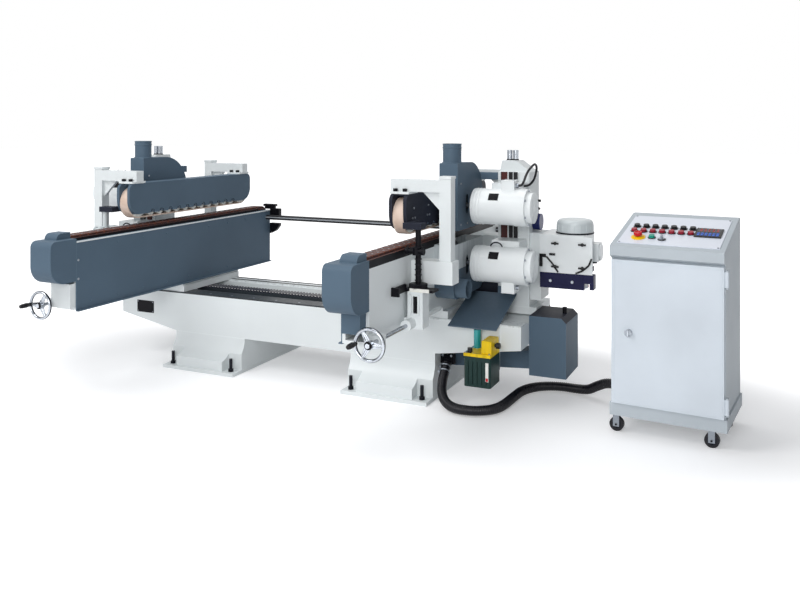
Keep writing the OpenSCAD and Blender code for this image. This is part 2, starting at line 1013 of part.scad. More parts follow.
module pressure_rollers() {
    color("white") {
        for (i = [0 : roller_count - 1])
            rod_x(belt_x, belt_x + belt_w, roller_y(i), roller_z, roller_r);
        for (y = [belt_front_y, belt_rear_y])
            rod_x(belt_x, belt_x + belt_w, y, belt_z, belt_r - belt_t - roller_gap);
        axle_places() rod_x(beam_x + roller_side + fit_gap, beam_x + beam_w - roller_side - fit_gap, 0, 0,
                            roller_axle_r);
    }
}

module right_pressure_beam() {
    pressure_beam();
}

module left_pressure_beam() {
    at_side(true) pressure_beam();
}

module right_pressure_belt() {
    pressure_belt();
}

module left_pressure_belt() {
    at_side(true) pressure_belt();
}

module right_pressure_rollers() {
    pressure_rollers();
}

module left_pressure_rollers() {
    at_side(true) pressure_rollers();
}

// Lift gear: a post that carries the beam, and the housing that it rises from
lift_half = lift_gear_w / 2;
lift_gear_top = lift_gear_bottom + lift_gear_h;
lift_plate_top = lift_gear_top + lift_plate_t;

module lift_post() {
    arm_low = beam_bottom + lift_arm_rise;
    color(black_steel) {
        rod_z(lift_x, lift_y, lift_bottom, arm_low + overrun, lift_r);
        rod_z(lift_x, lift_y, work_h - lift_collar_h, work_h, lift_collar_r);
        block([beam_x + beam_w, lift_y - lift_collar_r, arm_low],
              [lift_x + lift_collar_r, lift_y + lift_lug_l, arm_low + lift_lug_h]);
        block([beam_x + beam_w, lift_y, arm_low],
              [beam_x + beam_w + lift_lug_h, lift_y + lift_arm_l, arm_low + lift_lug_h]);
    }
}

module lift_gearbox() {
    bore = lift_r + running_gap;
    color(white_paint) difference() {
        union() {
            block([lift_x - lift_half, lift_y - lift_half, frame_bottom],
                  [lift_x + lift_half, lift_y + lift_half, lift_gear_top]);
            block([conveyor_out, lift_y - lift_half, frame_bottom],
                  [lift_x, lift_y + lift_half, lift_gear_bottom]);
            rod_y(wheel_x, bevel_y - bevel_l, bevel_y + overrun, wheel_z, bevel_r);
        }
        rod_z(lift_x, lift_y, lift_gear_bottom, lift_gear_top + overrun, bore);
        block([lift_x - lift_slot_w / 2, bevel_y - overrun, lift_gear_bottom + lift_slot_w],
              [lift_x + lift_slot_w / 2, bevel_y + lift_slot_w,
               lift_gear_bottom + lift_slot_w + lift_slot_h]);
        rod_y(wheel_x, bevel_y - bevel_l - overrun, bevel_y + lift_half, wheel_z,
              wheel_shaft_r + running_gap);
    }
    color(black_steel) difference() {
        union() {
            block([conveyor_out, bevel_y, lift_gear_top],
                  [conveyor_out + lift_plate_l, lift_y + lift_half, lift_plate_top]);
            rod_z(lift_x, lift_y, lift_plate_top - overrun, lift_plate_top + lift_ring_h, lift_ring_r);
            block([conveyor_out, bevel_y - lift_plate_l, lift_gear_top],
                  [conveyor_out + lift_plate_t, bevel_y + overrun, lift_plate_top + lift_ring_h]);
            block([conveyor_out, bevel_y - lift_plate_l, lift_gear_top],
                  [conveyor_out + lift_lug_l, bevel_y - lift_plate_l + lift_plate_t,
                   lift_plate_top + lift_lug_h]);
        }
        rod_z(lift_x, lift_y, lift_gear_top - overrun, lift_plate_top + lift_ring_h + overrun, bore);
    }
}

module right_lift_post() {
    lift_post();
}

module left_lift_post() {
    at_side(true) lift_post();
}

module right_lift_gearbox() {
    lift_gearbox();
}

// Handwheel on the shaft that drives the lift
module handwheel(way) {
    color(bright_steel) {
        translate([wheel_x, wheel_y, wheel_z]) rotate([90, 0, 0]) {
            rotate_extrude() translate([wheel_r - wheel_rim, 0]) circle(wheel_rim);
            translate([0, 0, -wheel_hub_l / 2]) cylinder(h = wheel_hub_l, r = wheel_hub_r);
            for (i = [0 : wheel_spokes - 1]) rotate([0, 90, i * 360 / wheel_spokes])
                cylinder(h = wheel_r - wheel_rim, r = wheel_spoke_r);
        }
        rod_y(wheel_x, wheel_y, bevel_y + lift_half / 2, wheel_z, wheel_shaft_r);
    }
    color(black_steel) rod_y(wheel_x + way * (wheel_r - handle_set), wheel_y - handle_l, wheel_y,
                             wheel_z, handle_r);
}

module right_handwheel() {
    handwheel(-1);
}

module left_handwheel() {
    at_side(true) handwheel(1);
}

// Column that carries a unit's two tenon heads
column_mid = column_in + column_w / 2;
column_way_mid = column_mid - column_way_off;
chute_top = low_hood_bottom - chute_gap;
column_way_low = chute_top + 2 * chute_flange;

module column() {
    rod_mid = column_mid - column_rod_off;
    color(white_paint) {
        block([column_in, 0, saddle_top], [column_out, column_d, column_top]);
        along_y(column_cap_inset, column_d - 2 * column_cap_inset) polygon([
            [column_in, column_top], [column_out, column_top],
            [rod_mid + column_cap_w / 2, column_top + column_cap_h],
            [rod_mid - column_cap_w / 2, column_top + column_cap_h]]);
        for (s = [-1, 1])
            rod_z(rod_mid + s * column_rod_set, column_d / 2, column_top + column_cap_h - overrun,
                  column_top + column_rod_h, column_rod_r);
    }
    color(black_steel) block([column_way_mid - column_way_w / 2, -column_way_h, column_way_low],
                             [column_way_mid + column_way_w / 2, 0, column_top]);
}

// Plate on the right column's outer face that guides the side head
module side_head_way() {
    color(navy_paint) block([column_out, side_plate_front, side_plate_low],
                            [column_out + side_plate_t, side_plate_front + side_plate_d, side_plate_high]);
    color(navy_paint) rod_x(column_out, column_out + column_knob_l, column_d / 2,
                            work_h + column_knob_z, column_knob_r);
}

module right_column() {
    column();
    side_head_way();
}

module left_column() {
    at_left_head() column();
}

// A head motor with the foot that slides on the column, at a height, its box above or below
module head_motor(z, box_up) {
    way_half = column_way_w / 2 + slide_gap;
    box_side = box_up ? 0 : 1;
    color(white_paint) translate([0, 0, z]) difference() {
        union() {
            rod_x(motor_x, motor_x + motor_l - motor_cap_l, motor_y, 0, motor_r);
            rod_x(motor_x + motor_l - motor_cap_l - overrun, motor_x + motor_l, motor_y, 0,
                  motor_r - motor_cap_in);
            rod_x(motor_x + motor_l - motor_cap_l - motor_collar_l, motor_x + motor_l - motor_cap_l,
                  motor_y, 0, motor_r + motor_collar);
            rod_x(motor_x - motor_nose_l, motor_x + overrun, motor_y, 0, motor_nose_r);
            block([motor_foot_in, motor_y + motor_r / 2, -motor_foot_down],
                  [motor_foot_in + motor_foot_w, -slide_gap, motor_foot_up]);
            mirror([0, 0, box_side])
                block([motor_box_x, motor_y - motor_box_w / 2, motor_r * motor_box_share],
                      [motor_box_x + motor_box_l, motor_y + motor_box_w / 2, motor_r + motor_box_h]);
        }
        block([column_way_mid - way_half, -column_way_h - slide_gap, -motor_foot_down - overrun],
              [column_way_mid + way_half, overrun, motor_foot_up + overrun]);
        rod_x(motor_x - motor_nose_l - overrun, motor_x + arbor_depth, motor_y, 0, arbor_r + running_gap);
    }
}

module right_upper_motor() {
    head_motor(upper_z, true);
}

module right_lower_motor() {
    head_motor(lower_z, false);
}

module left_upper_motor() {
    at_left_head() head_motor(upper_z, true);
}

module left_lower_motor() {
    at_left_head() head_motor(lower_z, false);
}

// Tenon cutter: knife block and scoring saw on the motor's arbor
module tenon_cutter(z) {
    color(bright_steel) translate([0, motor_y, z]) {
        rod_x(cutter_x, motor_x + arbor_depth - slide_gap, 0, 0, arbor_r);
        rod_x(cutter_x, cutter_x + cutter_body_l, 0, 0, cutter_body_r);
        rod_x(cutter_x, cutter_x + cutter_saw_t, 0, 0, cutter_r);
        for (i = [0 : cutter_knives - 1]) rotate([i * 360 / cutter_knives, 0, 0])
            block([cutter_x + cutter_saw_t, -cutter_knife_t / 2, 0],
                  [cutter_x + cutter_body_l, cutter_knife_t / 2, cutter_body_r + cutter_knife_out]);
    }
}

module right_upper_cutter() {
    tenon_cutter(upper_z);
}

module right_lower_cutter() {
    tenon_cutter(lower_z);
}

module left_upper_cutter() {
    at_left_head() tenon_cutter(upper_z);
}

module left_lower_cutter() {
    at_left_head() tenon_cutter(lower_z);
}

// Opening that lets an arbor rise and fall through a hood's outer wall
module arbor_slot(z, down, up) {
    half_slot = shaft_slot / 2;
    along_x(hood_x + hood_w - hood_wall - overrun, hood_wall + 2 * overrun)
        translate([motor_y - half_slot, z - down - half_slot])
        round_rect(shaft_slot, down + up + shaft_slot, half_slot, half_slot, half_slot, half_slot);
}

module hood_outline(wall) {
    translate([hood_front + wall, hood_bottom])
        round_rect(hood_rear - hood_front - 2 * wall, hood_top - hood_bottom - wall,
                   0, 0, hood_r - wall, hood_front_r - wall);
}

module upper_hood() {
    spigot_x = hood_x + hood_w / 2;
    spigot_top = hood_top + spigot_l;
    color(slate_paint) difference() {
        union() {
            along_x(hood_x, hood_w) hood_outline(0);
            rod_z(spigot_x, spigot_y, hood_top, spigot_top, spigot_r);
            block([hood_x + hood_w - overrun, hood_rear - hood_arm_t, hood_arm_z],
                  [column_in, hood_rear, hood_arm_z + hood_arm_h]);
            block([hood_x, hood_rear - hood_arm_t, hood_arm_z],
                  [hood_x + hood_w, hood_rear, hood_arm_z + hood_arm_h]);
        }
        along_x(hood_x + hood_wall, hood_w - 2 * hood_wall) translate([0, -overrun]) hood_outline(hood_wall);
        rod_z(spigot_x, spigot_y, hood_top - hood_front_r - overrun, spigot_top + overrun,
              spigot_r - spigot_wall);
        arbor_slot(upper_z, head_travel_in, head_travel_out);
    }
}

module low_hood_outline(wall) {
    translate([low_hood_front + wall, low_hood_bottom + wall])
        round_rect(low_hood_rear - low_hood_front - 2 * wall, low_hood_top - low_hood_bottom,
                   low_hood_r - wall, low_hood_r - wall, 0, 0);
}

module lower_hood() {
    x1 = hood_x + hood_w;
    color(slate_paint) difference() {
        union() {
            along_x(conveyor_out, x1 - conveyor_out) intersection() {
                low_hood_outline(0);
                translate([low_hood_front, low_hood_bottom])
                    square([low_hood_rear - low_hood_front, low_hood_top - low_hood_bottom]);
            }
            rod_x(x1, x1 + low_spigot_l, low_spigot_y, low_spigot_z, spigot_r);
        }
        along_x(hood_x + hood_wall, hood_w - 2 * hood_wall) low_hood_outline(hood_wall);
        rod_x(x1 - hood_wall - overrun, x1 + low_spigot_l + overrun, low_spigot_y, low_spigot_z,
              spigot_r - spigot_wall);
        arbor_slot(lower_z, head_travel_out, head_travel_in);
    }
}

module chip_chute() {
    lip_y = -half_bed - chute_over;
    lip_z = way_top - chute_over * (chute_top - way_top) / half_bed;
    color(slate_paint) {
        along_x(chute_in, chute_w) polygon([
            [lip_y, lip_z], [0, chute_top], [0, chute_top + chute_t], [lip_y, lip_z + chute_t]]);
        block([column_in, -chute_t, chute_top], [chute_in + chute_w, 0, chute_top + chute_flange]);
    }
}

module right_dust_hood() {
    upper_hood();
}

module right_chip_chute() {
    lower_hood();
    chip_chute();
}

module left_dust_hood() {
    at_left_head() {
        upper_hood();
        lower_hood();
    }
}

// Side head with its vertical motor, on the right unit's column
module right_side_head() {
    top_z = side_bottom + side_h;
    cap_r = side_motor_d / 2;
    shelf_low = side_bottom - side_shelf_h;
    color(white_paint) difference() {
        union() {
            translate([side_x, side_d + side_front, side_bottom]) rotate([90, 0, 0])
                linear_extrude(side_d) round_rect(side_w, side_h, side_r, side_r, 0, 0);
            translate([side_axis_x, side_axis_y, top_z - overrun]) rotate_extrude()
                round_rect(cap_r, side_cap_h + overrun, 0, 0, side_cap_r, 0);
            block([side_x + side_w - overrun, side_axis_y - side_box_d / 2, side_bottom + side_box_z],
                  [side_x + side_w + side_box_w, side_axis_y + side_box_d / 2,
                   side_bottom + side_box_z + side_box_h]);
            block([side_x, side_front, side_bottom - side_shelf_t],
                  [side_x + side_w, side_front + side_d, side_bottom + side_shelf_t]);
            block([side_x, side_front, shelf_low],
                  [side_x + side_w, side_front + side_shelf_t, side_bottom]);
            block([side_x, side_front, shelf_low],
                  [side_x + side_shelf_t, side_front + side_d, side_bottom]);
        }
        rod_z(side_axis_x, side_axis_y, side_bottom - side_shelf_t - overrun,
              side_bottom + side_spindle_depth, side_spindle_r + running_gap);
    }
}

module right_side_cutter() {
    tool_z = side_bottom - side_shelf_h - side_tool_drop;
    color(black_steel) {
        rod_z(side_axis_x, side_axis_y, tool_z, side_bottom + side_spindle_depth - slide_gap, side_spindle_r);
        rod_z(side_axis_x, side_axis_y, tool_z, tool_z + side_tool_t, side_tool_r);
    }
}

// Waste box at the bed's right end, with the duct that feeds it
module duct_outline(wall) {
    x0 = half_foot_w - neck_inset;
    x1 = bed_right + waste_wall + overrun;
    polygon([[x0, duct_low + wall], [x0, duct_high - wall], [x1, duct_end_high - wall],
             [x1, duct_end_low + wall]]);
}

module waste_outline(wall) {
    translate([bed_right + wall, waste_bottom + wall]) polygon([
        [0, 0], [waste_w - 2 * wall, 0], [waste_w - 2 * wall, waste_h - waste_chamfer - 2 * wall],
        [waste_w - waste_chamfer - 2 * wall, waste_h - 2 * wall], [0, waste_h - 2 * wall]]);
}

module waste_box() {
    duct_front = -duct_w / 2;
    color(slate_paint) difference() {
        union() {
            along_y(waste_front, waste_d) waste_outline(0);
            along_y(duct_front, duct_w) duct_outline(0);
        }
        along_y(waste_front + waste_wall, waste_d - 2 * waste_wall) waste_outline(waste_wall);
        along_y(duct_front + waste_wall, duct_w - 2 * waste_wall) difference() {
            duct_outline(waste_wall);
            translate([0, duct_low]) square([half_foot_w, duct_end_high]);
        }
    }
    color(black_steel) rod_z(bed_right + waste_w - waste_knob_in, waste_front + waste_d / 2,
                             waste_bottom + waste_h,
                             waste_bottom + waste_h + waste_knob_h, waste_knob_r);
}

// Oil pump on a plate at the bed's front
module oil_pump() {
    back_y = -half_bed - pump_back_t;
    front_y = back_y - pump_d;
    tank_top = pump_bottom + pump_tank_h;
    lid_top = tank_top + pump_lid_h;
    rib_pitch = pump_w / pump_ribs;
    color("#0c3a36") {
        difference() {
            translate([pump_x, front_y, pump_bottom]) linear_extrude(pump_tank_h)
                round_rect(pump_w, pump_d, pump_r, pump_r, 0, 0);
            for (i = [1 : pump_ribs - 1])
                block([pump_x + i * rib_pitch, front_y - overrun, pump_bottom + pump_r],
                      [pump_x + i * rib_pitch + pump_rib_t, front_y + pump_rib_t, tank_top - pump_r]);
        }
        block([pump_x, back_y, tank_top - pump_back_h / 2],
              [pump_x + pump_w, -half_bed, bed_top - pump_back_t]);
    }
    color("#f7d400") {
        block([pump_x, front_y, tank_top], [pump_x + pump_w, back_y, lid_top]);
        block([pump_x + pump_w - pump_head_w, front_y + pump_r, lid_top],
              [pump_x + pump_w, back_y - pump_r, lid_top + pump_head_h]);
    }
    color("#1aa0a0") rod_z(pump_x + pump_knob_r + pump_cyl_r, back_y - pump_cyl_r - pump_back_t, lid_top,
                           lid_top + pump_cyl_h, pump_cyl_r);
    color(black_steel) rod_z(pump_x + 2 * pump_knob_r, front_y + 2 * pump_knob_r, lid_top,
                             lid_top + pump_knob_h, pump_knob_r);
}

// Ribbed hose: a smooth curve through the route's points, with rings at equal steps along it
hose_last = len(hose_route) - 1;

function route_point(i) =
    i < 0 ? 2 * hose_route[0] - hose_route[1]
    : i > hose_last ? 2 * hose_route[hose_last] - hose_route[hose_last - 1]
    : hose_route[i];

function curve_at(i, t) = let(
    a = route_point(i - 1), b = route_point(i), c = route_point(i + 1), d = route_point(i + 2))
    (2 * b + (c - a) * t + (2 * a - 5 * b + 4 * c - d) * t * t + (3 * b - a - 3 * c + d) * t * t * t) / 2;

hose_curve = [for (i = [0 : hose_last - 1], k = [0 : hose_steps - 1]) curve_at(i, k / hose_steps),
              hose_route[hose_last]];
hose_dots = len(hose_curve);
hose_run = [for (i = 0, s = 0; i < hose_dots;
                 s = s + (i + 1 < hose_dots ? norm(hose_curve[i + 1] - hose_curve[i]) : 0), i = i + 1) s];
hose_l = hose_run[hose_dots - 1];

function run_index(s, i) = i >= hose_dots - 2 || hose_run[i + 1] >= s ? i : run_index(s, i + 1);

function hose_point(s) = let(
    i = run_index(s, 0),
    t = (s - hose_run[i]) / (hose_run[i + 1] - hose_run[i]))
    hose_curve[i] * (1 - t) + hose_curve[i + 1] * t;

hose_rings = 2 * hose_ribs + 1;
hose_mid = [for (j = [0 : hose_rings - 1]) hose_point(hose_l * j / (hose_rings - 1))];

function unit(v) = v / norm(v);

function ring_way(j) = unit(hose_mid[min(j + 1, hose_rings - 1)] - hose_mid[max(j - 1, 0)]);

function square_to(v, way) = unit(v - (v * way) * way);

hose_side = [for (j = 0, v = square_to([0, 1, 0], ring_way(0)); j < hose_rings;
                  v = square_to(v, ring_way(min(j + 1, hose_rings - 1))), j = j + 1) v];

function ring_dots(j, r) = [for (k = [0 : hose_sides - 1]) let(a = 360 * k / hose_sides)
    hose_mid[j] + r * (cos(a) * hose_side[j] + sin(a) * cross(ring_way(j), hose_side[j]))];

// Triangles between two rings of points that start at two places in a list
function band(p, q, flip) = [for (k = [0 : hose_sides - 1]) let(n = (k + 1) % hose_sides)
    each flip ? [[p + k, q + n, p + n], [p + k, q + k, q + n]]
              : [[p + k, p + n, q + n], [p + k, q + n, q + k]]];

module hose() {
    bore_rings = [for (j = [0 : hose_bore_step : hose_rings - 1]) j];
    outer = [for (j = [0 : hose_rings - 1]) each ring_dots(j, hose_r - (j % 2 == 0 ? hose_valley : 0))];
    inner = [for (j = bore_rings) each ring_dots(j, hose_r * hose_bore_share)];
    first = len(outer);
    last = first + len(inner) - hose_sides;
    color(black_steel) polyhedron(
        points = concat(outer, inner),
        faces = concat(
            [for (j = [0 : hose_rings - 2]) each band(j * hose_sides, (j + 1) * hose_sides, true)],
            [for (j = [0 : len(bore_rings) - 2])
                each band(first + j * hose_sides, first + (j + 1) * hose_sides, false)],
            band(0, first, false),
            band(first - hose_sides, last, true)));
}

// A round piece from one point to another
module rod_between(a, b, r) {
    v = b - a;
    turn = atan2(v[1], v[0]);
    lean = acos(v[2] / norm(v));
    translate(a) rotate([0, lean, turn]) cylinder(h = norm(v), r = r);
}

module hose_fittings() {
    start = hose_route[0];
    way = unit(hose_route[1] - start);
    finish = hose_route[hose_last];
    end_way = unit(finish - hose_route[hose_last - 1]);
    side_way = [cos(cabinet_turn), -sin(cabinet_turn), 0];
    reach = (([cabinet_x, -cabinet_y, finish[2]] - finish) * side_way - half_cab - plinth_over) - fit_gap;
    bracket_x = half_foot_w - neck_inset;
    color(black_steel) {
        rod_between(start - gland_l * way, start - running_gap * way, gland_r);
        block([bracket_x, bracket_y, bracket_low],
              [bracket_x + bracket_w, bracket_y + bracket_d, bracket_low + bracket_h]);
        rod_between(finish + running_gap * end_way, finish + reach * end_way, gland_r);
    }
}

// Control cabinet
module in_cabinet() {
    translate([cabinet_x, -cabinet_y, 0]) rotate([0, 0, -cabinet_turn]) children();
}

// The sloped desk's own frame: x across, y up the slope, z out of it
module on_desk() {
    in_cabinet() translate([0, -half_cab_d - desk_out, desk_high]) rotate([desk_slope, 0, 0]) children();
}

module cabinet_outline(wall) {
    polygon([
        [wall - half_cab_d, cab_floor + wall], [wall - half_cab_d, desk_low + wall / 2],
        [wall - half_cab_d - desk_out, desk_low + desk_lip + wall / 2],
        [wall - half_cab_d - desk_out, desk_high - wall], [half_cab_d - desk_back, cabinet_h - wall],
        [half_cab_d - wall, cabinet_h - wall], [half_cab_d - wall, cab_floor + wall]]);
}

module caster_places(front) {
    y = front ? caster_in_y - half_cab_d : half_cab_d - caster_in_y;
    for (s = [-1, 1]) translate([s * (half_cab - caster_in_x), y, 0]) children();
}

module hinge_places() {
    for (z = [cab_floor + hinge_in, desk_low - hinge_in - hinge_l])
        translate([hinge_x, hinge_y, z]) children();
}

module cabinet_body() {
    color(cabinet_paint) in_cabinet() difference() {
        union() {
            along_x(-half_cab, cabinet_w) cabinet_outline(0);
            block([-half_cab - plinth_over, -half_cab_d - plinth_over, plinth_low],
                  [half_cab + plinth_over, half_cab_d + plinth_over, cab_floor]);
            hinge_places() {
                rod_z(0, 0, -hinge_r, hinge_l + hinge_r, hinge_pin_r);
                for (z = [-hinge_r, hinge_l]) translate([0, 0, z]) {
                    cylinder(h = hinge_r - fit_gap, r = hinge_r);
                    block([-hinge_r, 0, 0], [hinge_r, -hinge_y - half_cab_d + hinge_r, hinge_r - fit_gap]);
                    block([half_cab - hinge_x - overrun, -hinge_y - half_cab_d, 0],
                          [hinge_r, -hinge_y - half_cab_d + hinge_r, hinge_r - fit_gap]);
                }
            }
        }
        along_x(cab_wall - half_cab, cabinet_w - 2 * cab_wall) cabinet_outline(cab_wall);
        block([door_frame - half_cab, -half_cab_d - overrun, cab_floor + door_frame],
              [half_cab - door_frame, overrun + cab_wall - half_cab_d, desk_low - door_frame]);
        translate([0, -half_cab_d - desk_out, desk_high]) rotate([desk_slope, 0, 0])
            block([2 * panel_margin - half_cab, panel_low + panel_margin, -3 * cab_wall],
                  [half_cab - 2 * panel_margin, panel_low + panel_l - panel_margin, cab_wall]);
        caster_places(true) rod_z(0, 0, plinth_low - overrun, plinth_low + caster_stem_l,
                                  caster_stem_r + running_gap);
    }
}

module cabinet_door() {
    y1 = -half_cab_d - door_set;
    z0 = cab_floor + door_gap;
    z1 = desk_low - door_gap;
    x1 = half_cab - door_gap;
    lock_x = lock_in - x1;
    lock_z = (z0 + z1) / 2;
    color(cabinet_paint) in_cabinet() difference() {
        union() {
            block([-x1, y1 - door_t, z0], [x1, y1, z1]);
            hinge_places() {
                cylinder(h = hinge_l, r = hinge_r);
                block([x1 - hinge_x - overrun, -hinge_r, 0], [0, 0, hinge_l]);
            }
        }
        block([door_skin - x1, y1 - door_t + door_skin, z0 + door_skin],
              [x1 - door_skin, y1 + overrun, z1 - door_skin]);
        hinge_places() rod_z(0, 0, -overrun, hinge_l + overrun, hinge_pin_r + running_gap);
        rod_y(lock_x, y1 - door_t - overrun, y1 + overrun, lock_z, lock_stem_r + running_gap);
    }
}

module door_lock() {
    y0 = -half_cab_d - door_set - door_t;
    z = (cab_floor + desk_low) / 2;
    x = lock_in + door_gap - half_cab;
    color(bright_steel) in_cabinet() {
        rod_y(x, y0 - lock_l, y0 - slide_gap, z, lock_r);
        rod_y(x, y0 - slide_gap - overrun, y0 + door_skin + slide_gap + lock_cam_t, z, lock_stem_r);
        block([x - lock_cam_w / 2, y0 + door_skin + slide_gap, z - lock_cam_w / 2],
              [x + lock_cam_w / 2, y0 + door_skin + slide_gap + lock_cam_t, z + lock_cam_l]);
    }
}

function button_at(row, col) = [button_first_x + col * button_pitch, button_first_y - row * button_row];

module button_places() {
    for (row = [0, 1], col = [0 : button_cols - 1]) translate(button_at(row, col)) children();
    translate([green_x, green_y]) children();
}

module control_panel() {
    color("#dfe3ea") on_desk() difference() {
        union() {
            block([panel_margin - half_cab, panel_low, 0],
                  [half_cab - panel_margin, panel_low + panel_l, panel_plate_t]);
            button_places() cylinder(h = panel_plate_t + bezel_h, r = bezel_r);
            translate([stop_x, stop_y]) cylinder(h = panel_plate_t + bezel_h, r = stop_r + bezel_h);
            translate([select_x, select_y]) cylinder(h = panel_plate_t + bezel_h, r = bezel_r);
            block([display_x, display_y, 0],
                  [display_x + display_w, display_y + display_h, panel_plate_t + display_t]);
        }
        button_places() rod_z(0, 0, -overrun, panel_plate_t + bezel_h + overrun, button_r + slide_gap);
        for (p = [[stop_x, stop_y], [select_x, select_y]])
            translate(p) rod_z(0, 0, -overrun, panel_plate_t + bezel_h + overrun, button_stem_r + slide_gap);
    }
}

module push_buttons() {
    color(black_steel) on_desk() button_places()
        rod_z(0, 0, -bezel_h, panel_plate_t + bezel_h + button_h, button_r);
}

module emergency_stop() {
    top = panel_plate_t + bezel_h + button_h;
    color("#c8102e") on_desk() translate([stop_x, stop_y]) {
        rod_z(0, 0, -bezel_h, top, button_stem_r);
        rod_z(0, 0, top - overrun, top + stop_h / 2, stop_r);
    }
}

module selector_switch() {
    low = panel_plate_t + bezel_h + slide_gap;
    color(bright_steel) on_desk() translate([select_x, select_y]) {
        rod_z(0, 0, -bezel_h, low + overrun, button_stem_r);
        rod_z(0, 0, low, low + bezel_h, select_r);
        block([-bezel_h, -select_r, low + overrun], [bezel_h, select_r, low + select_h]);
    }
}

// Casters
module caster_fork(swivel) {
    top = plinth_low - (swivel ? slide_gap : 0);
    half_in = caster_w / 2 + caster_cheek_gap;
    half_plate = caster_plate_w / 2;
    axle_y = caster_trail;
    difference() {
        union() {
            block([-half_plate, -half_plate, top - caster_plate_t],
                  [half_plate, axle_y + caster_axle_r * 3, top]);
            for (x = [-half_in - caster_cheek, half_in])
                block([x, axle_y - caster_axle_r * 3, caster_r - caster_axle_r * 2],
                      [x + caster_cheek, axle_y + caster_axle_r * 3, top - caster_plate_t + overrun]);
            if (swivel) rod_z(0, 0, top - overrun, top + caster_stem_l - overrun, caster_stem_r);
        }
        rod_x(-half_plate, half_plate, axle_y, caster_r, caster_axle_r + running_gap);
    }
}

module caster_wheel() {
    reach = caster_w / 2 + caster_cheek_gap + caster_cheek + caster_head;
    rod_x(-caster_w / 2, caster_w / 2, caster_trail, caster_r, caster_r);
    rod_x(-reach, reach, caster_trail, caster_r, caster_axle_r);
}

module front_caster_place(side) {
    in_cabinet() translate([side * (half_cab - caster_in_x), caster_in_y - half_cab_d, 0])
        rotate(caster_turn) children();
}

module left_caster_fork() {
    color(bright_steel) front_caster_place(-1) caster_fork(true);
}

module right_caster_fork() {
    color(bright_steel) front_caster_place(1) caster_fork(true);
}

module left_caster_wheel() {
    color(black_steel) front_caster_place(-1) caster_wheel();
}

module right_caster_wheel() {
    color(black_steel) front_caster_place(1) caster_wheel();
}

module rear_caster_forks() {
    color(bright_steel) in_cabinet() caster_places(false) mirror([0, 1, 0]) caster_fork(false);
}

module rear_caster_wheels() {
    color(black_steel) in_cabinet() caster_places(false) mirror([0, 1, 0]) caster_wheel();
}

bed();
left_pedestal();
right_pedestal();
bed_rails();
levelling_bolts();
lead_screw();
feed_shaft();
hose();
hose_fittings();
oil_pump();
waste_box();
right_frame();
right_side_panel();
right_end_cover();
right_feed_chain();
right_gantries();
right_pressure_beam();
right_pressure_belt();
right_pressure_rollers();
right_lift_post();
right_lift_gearbox();
right_column();
right_upper_motor();
right_upper_cutter();
right_lower_motor();
right_lower_cutter();
right_dust_hood();
right_chip_chute();
right_side_head();
right_side_cutter();
right_handwheel();
left_frame();
left_side_panel();
left_end_cover();
left_feed_chain();
left_gantries();
left_pressure_beam();
left_pressure_belt();
left_pressure_rollers();
left_lift_post();
left_column();
left_upper_motor();
left_upper_cutter();
left_lower_motor();
left_lower_cutter();
left_dust_hood();
left_handwheel();
cabinet_body();
cabinet_door();
door_lock();
control_panel();
push_buttons();
emergency_stop();
selector_switch();
left_caster_fork();
right_caster_fork();
left_caster_wheel();
right_caster_wheel();
rear_caster_forks();
rear_caster_wheels();
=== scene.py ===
"""Looks of the double-end tenoning machine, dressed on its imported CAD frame. Lengths are in metres."""
import math

import bmesh
import bpy
from mathutils import Matrix, Vector


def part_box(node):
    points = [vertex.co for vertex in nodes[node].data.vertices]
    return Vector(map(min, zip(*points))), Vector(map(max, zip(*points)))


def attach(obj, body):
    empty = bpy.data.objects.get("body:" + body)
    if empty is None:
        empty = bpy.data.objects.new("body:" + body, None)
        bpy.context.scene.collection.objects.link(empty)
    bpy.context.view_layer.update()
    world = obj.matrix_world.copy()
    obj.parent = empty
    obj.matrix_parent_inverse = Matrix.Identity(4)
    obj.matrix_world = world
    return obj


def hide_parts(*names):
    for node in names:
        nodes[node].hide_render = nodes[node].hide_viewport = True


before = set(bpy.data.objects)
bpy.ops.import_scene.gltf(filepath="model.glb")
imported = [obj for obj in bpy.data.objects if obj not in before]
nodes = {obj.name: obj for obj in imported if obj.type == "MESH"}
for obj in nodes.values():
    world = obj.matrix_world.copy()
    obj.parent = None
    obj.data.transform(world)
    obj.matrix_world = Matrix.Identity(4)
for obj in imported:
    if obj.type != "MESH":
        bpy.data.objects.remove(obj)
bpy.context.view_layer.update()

MM = 0.001
SIDES = ("right", "left")
MIRROR_X = -1.290          # a left-hand place is MIRROR_X minus the right-hand one
LEFT_HEAD_LEAD = 0.140     # the left unit's heads stand this much further forward
CABINET_PLACE = (1.505, -0.190, 0)
CABINET_TURN = math.radians(-5)
DESK_PLACE = (0, -0.262, 0.915)   # the panel's front edge on the cabinet
DESK_SLOPE = math.atan2(115, 451)
PANEL_FACE = 157 * MM             # right-hand x of the side panel's face
GANTRIES = (-665 * MM, 395 * MM)  # y of the gantry posts
WHEEL = (0.338, -1.250, 0.531)    # middle of the right handwheel's rim
HEAD_Y = -0.200                   # axes of the right tenon motors
HEAD_Z = {"upper": 1.055, "lower": 0.744}
MOTOR_R = 96 * MM
MOTOR_END = 0.784
CARRIER = {"right": "base", "left": "left_carriage"}


# Camera
def make_camera():
    data = bpy.data.cameras.new("camera")
    data.sensor_width = 36
    data.lens = 38.25
    data.shift_y = -0.22
    data.clip_end = 60
    cam = bpy.data.objects.new("camera", data)
    cam.location = (2.013, -4.578, 1.5)
    cam.rotation_euler = (math.radians(90), 0, math.radians(24.65))
    bpy.context.scene.collection.objects.link(cam)
    bpy.context.scene.camera = cam


make_camera()


# Material helpers
def rgb(text):
    """A hex colour as linear RGBA."""
    parts = [int(text[i:i + 2], 16) / 255 for i in (1, 3, 5)]
    return [c / 12.92 if c <= 0.04045 else ((c + 0.055) / 1.055) ** 2.4 for c in parts] + [1]


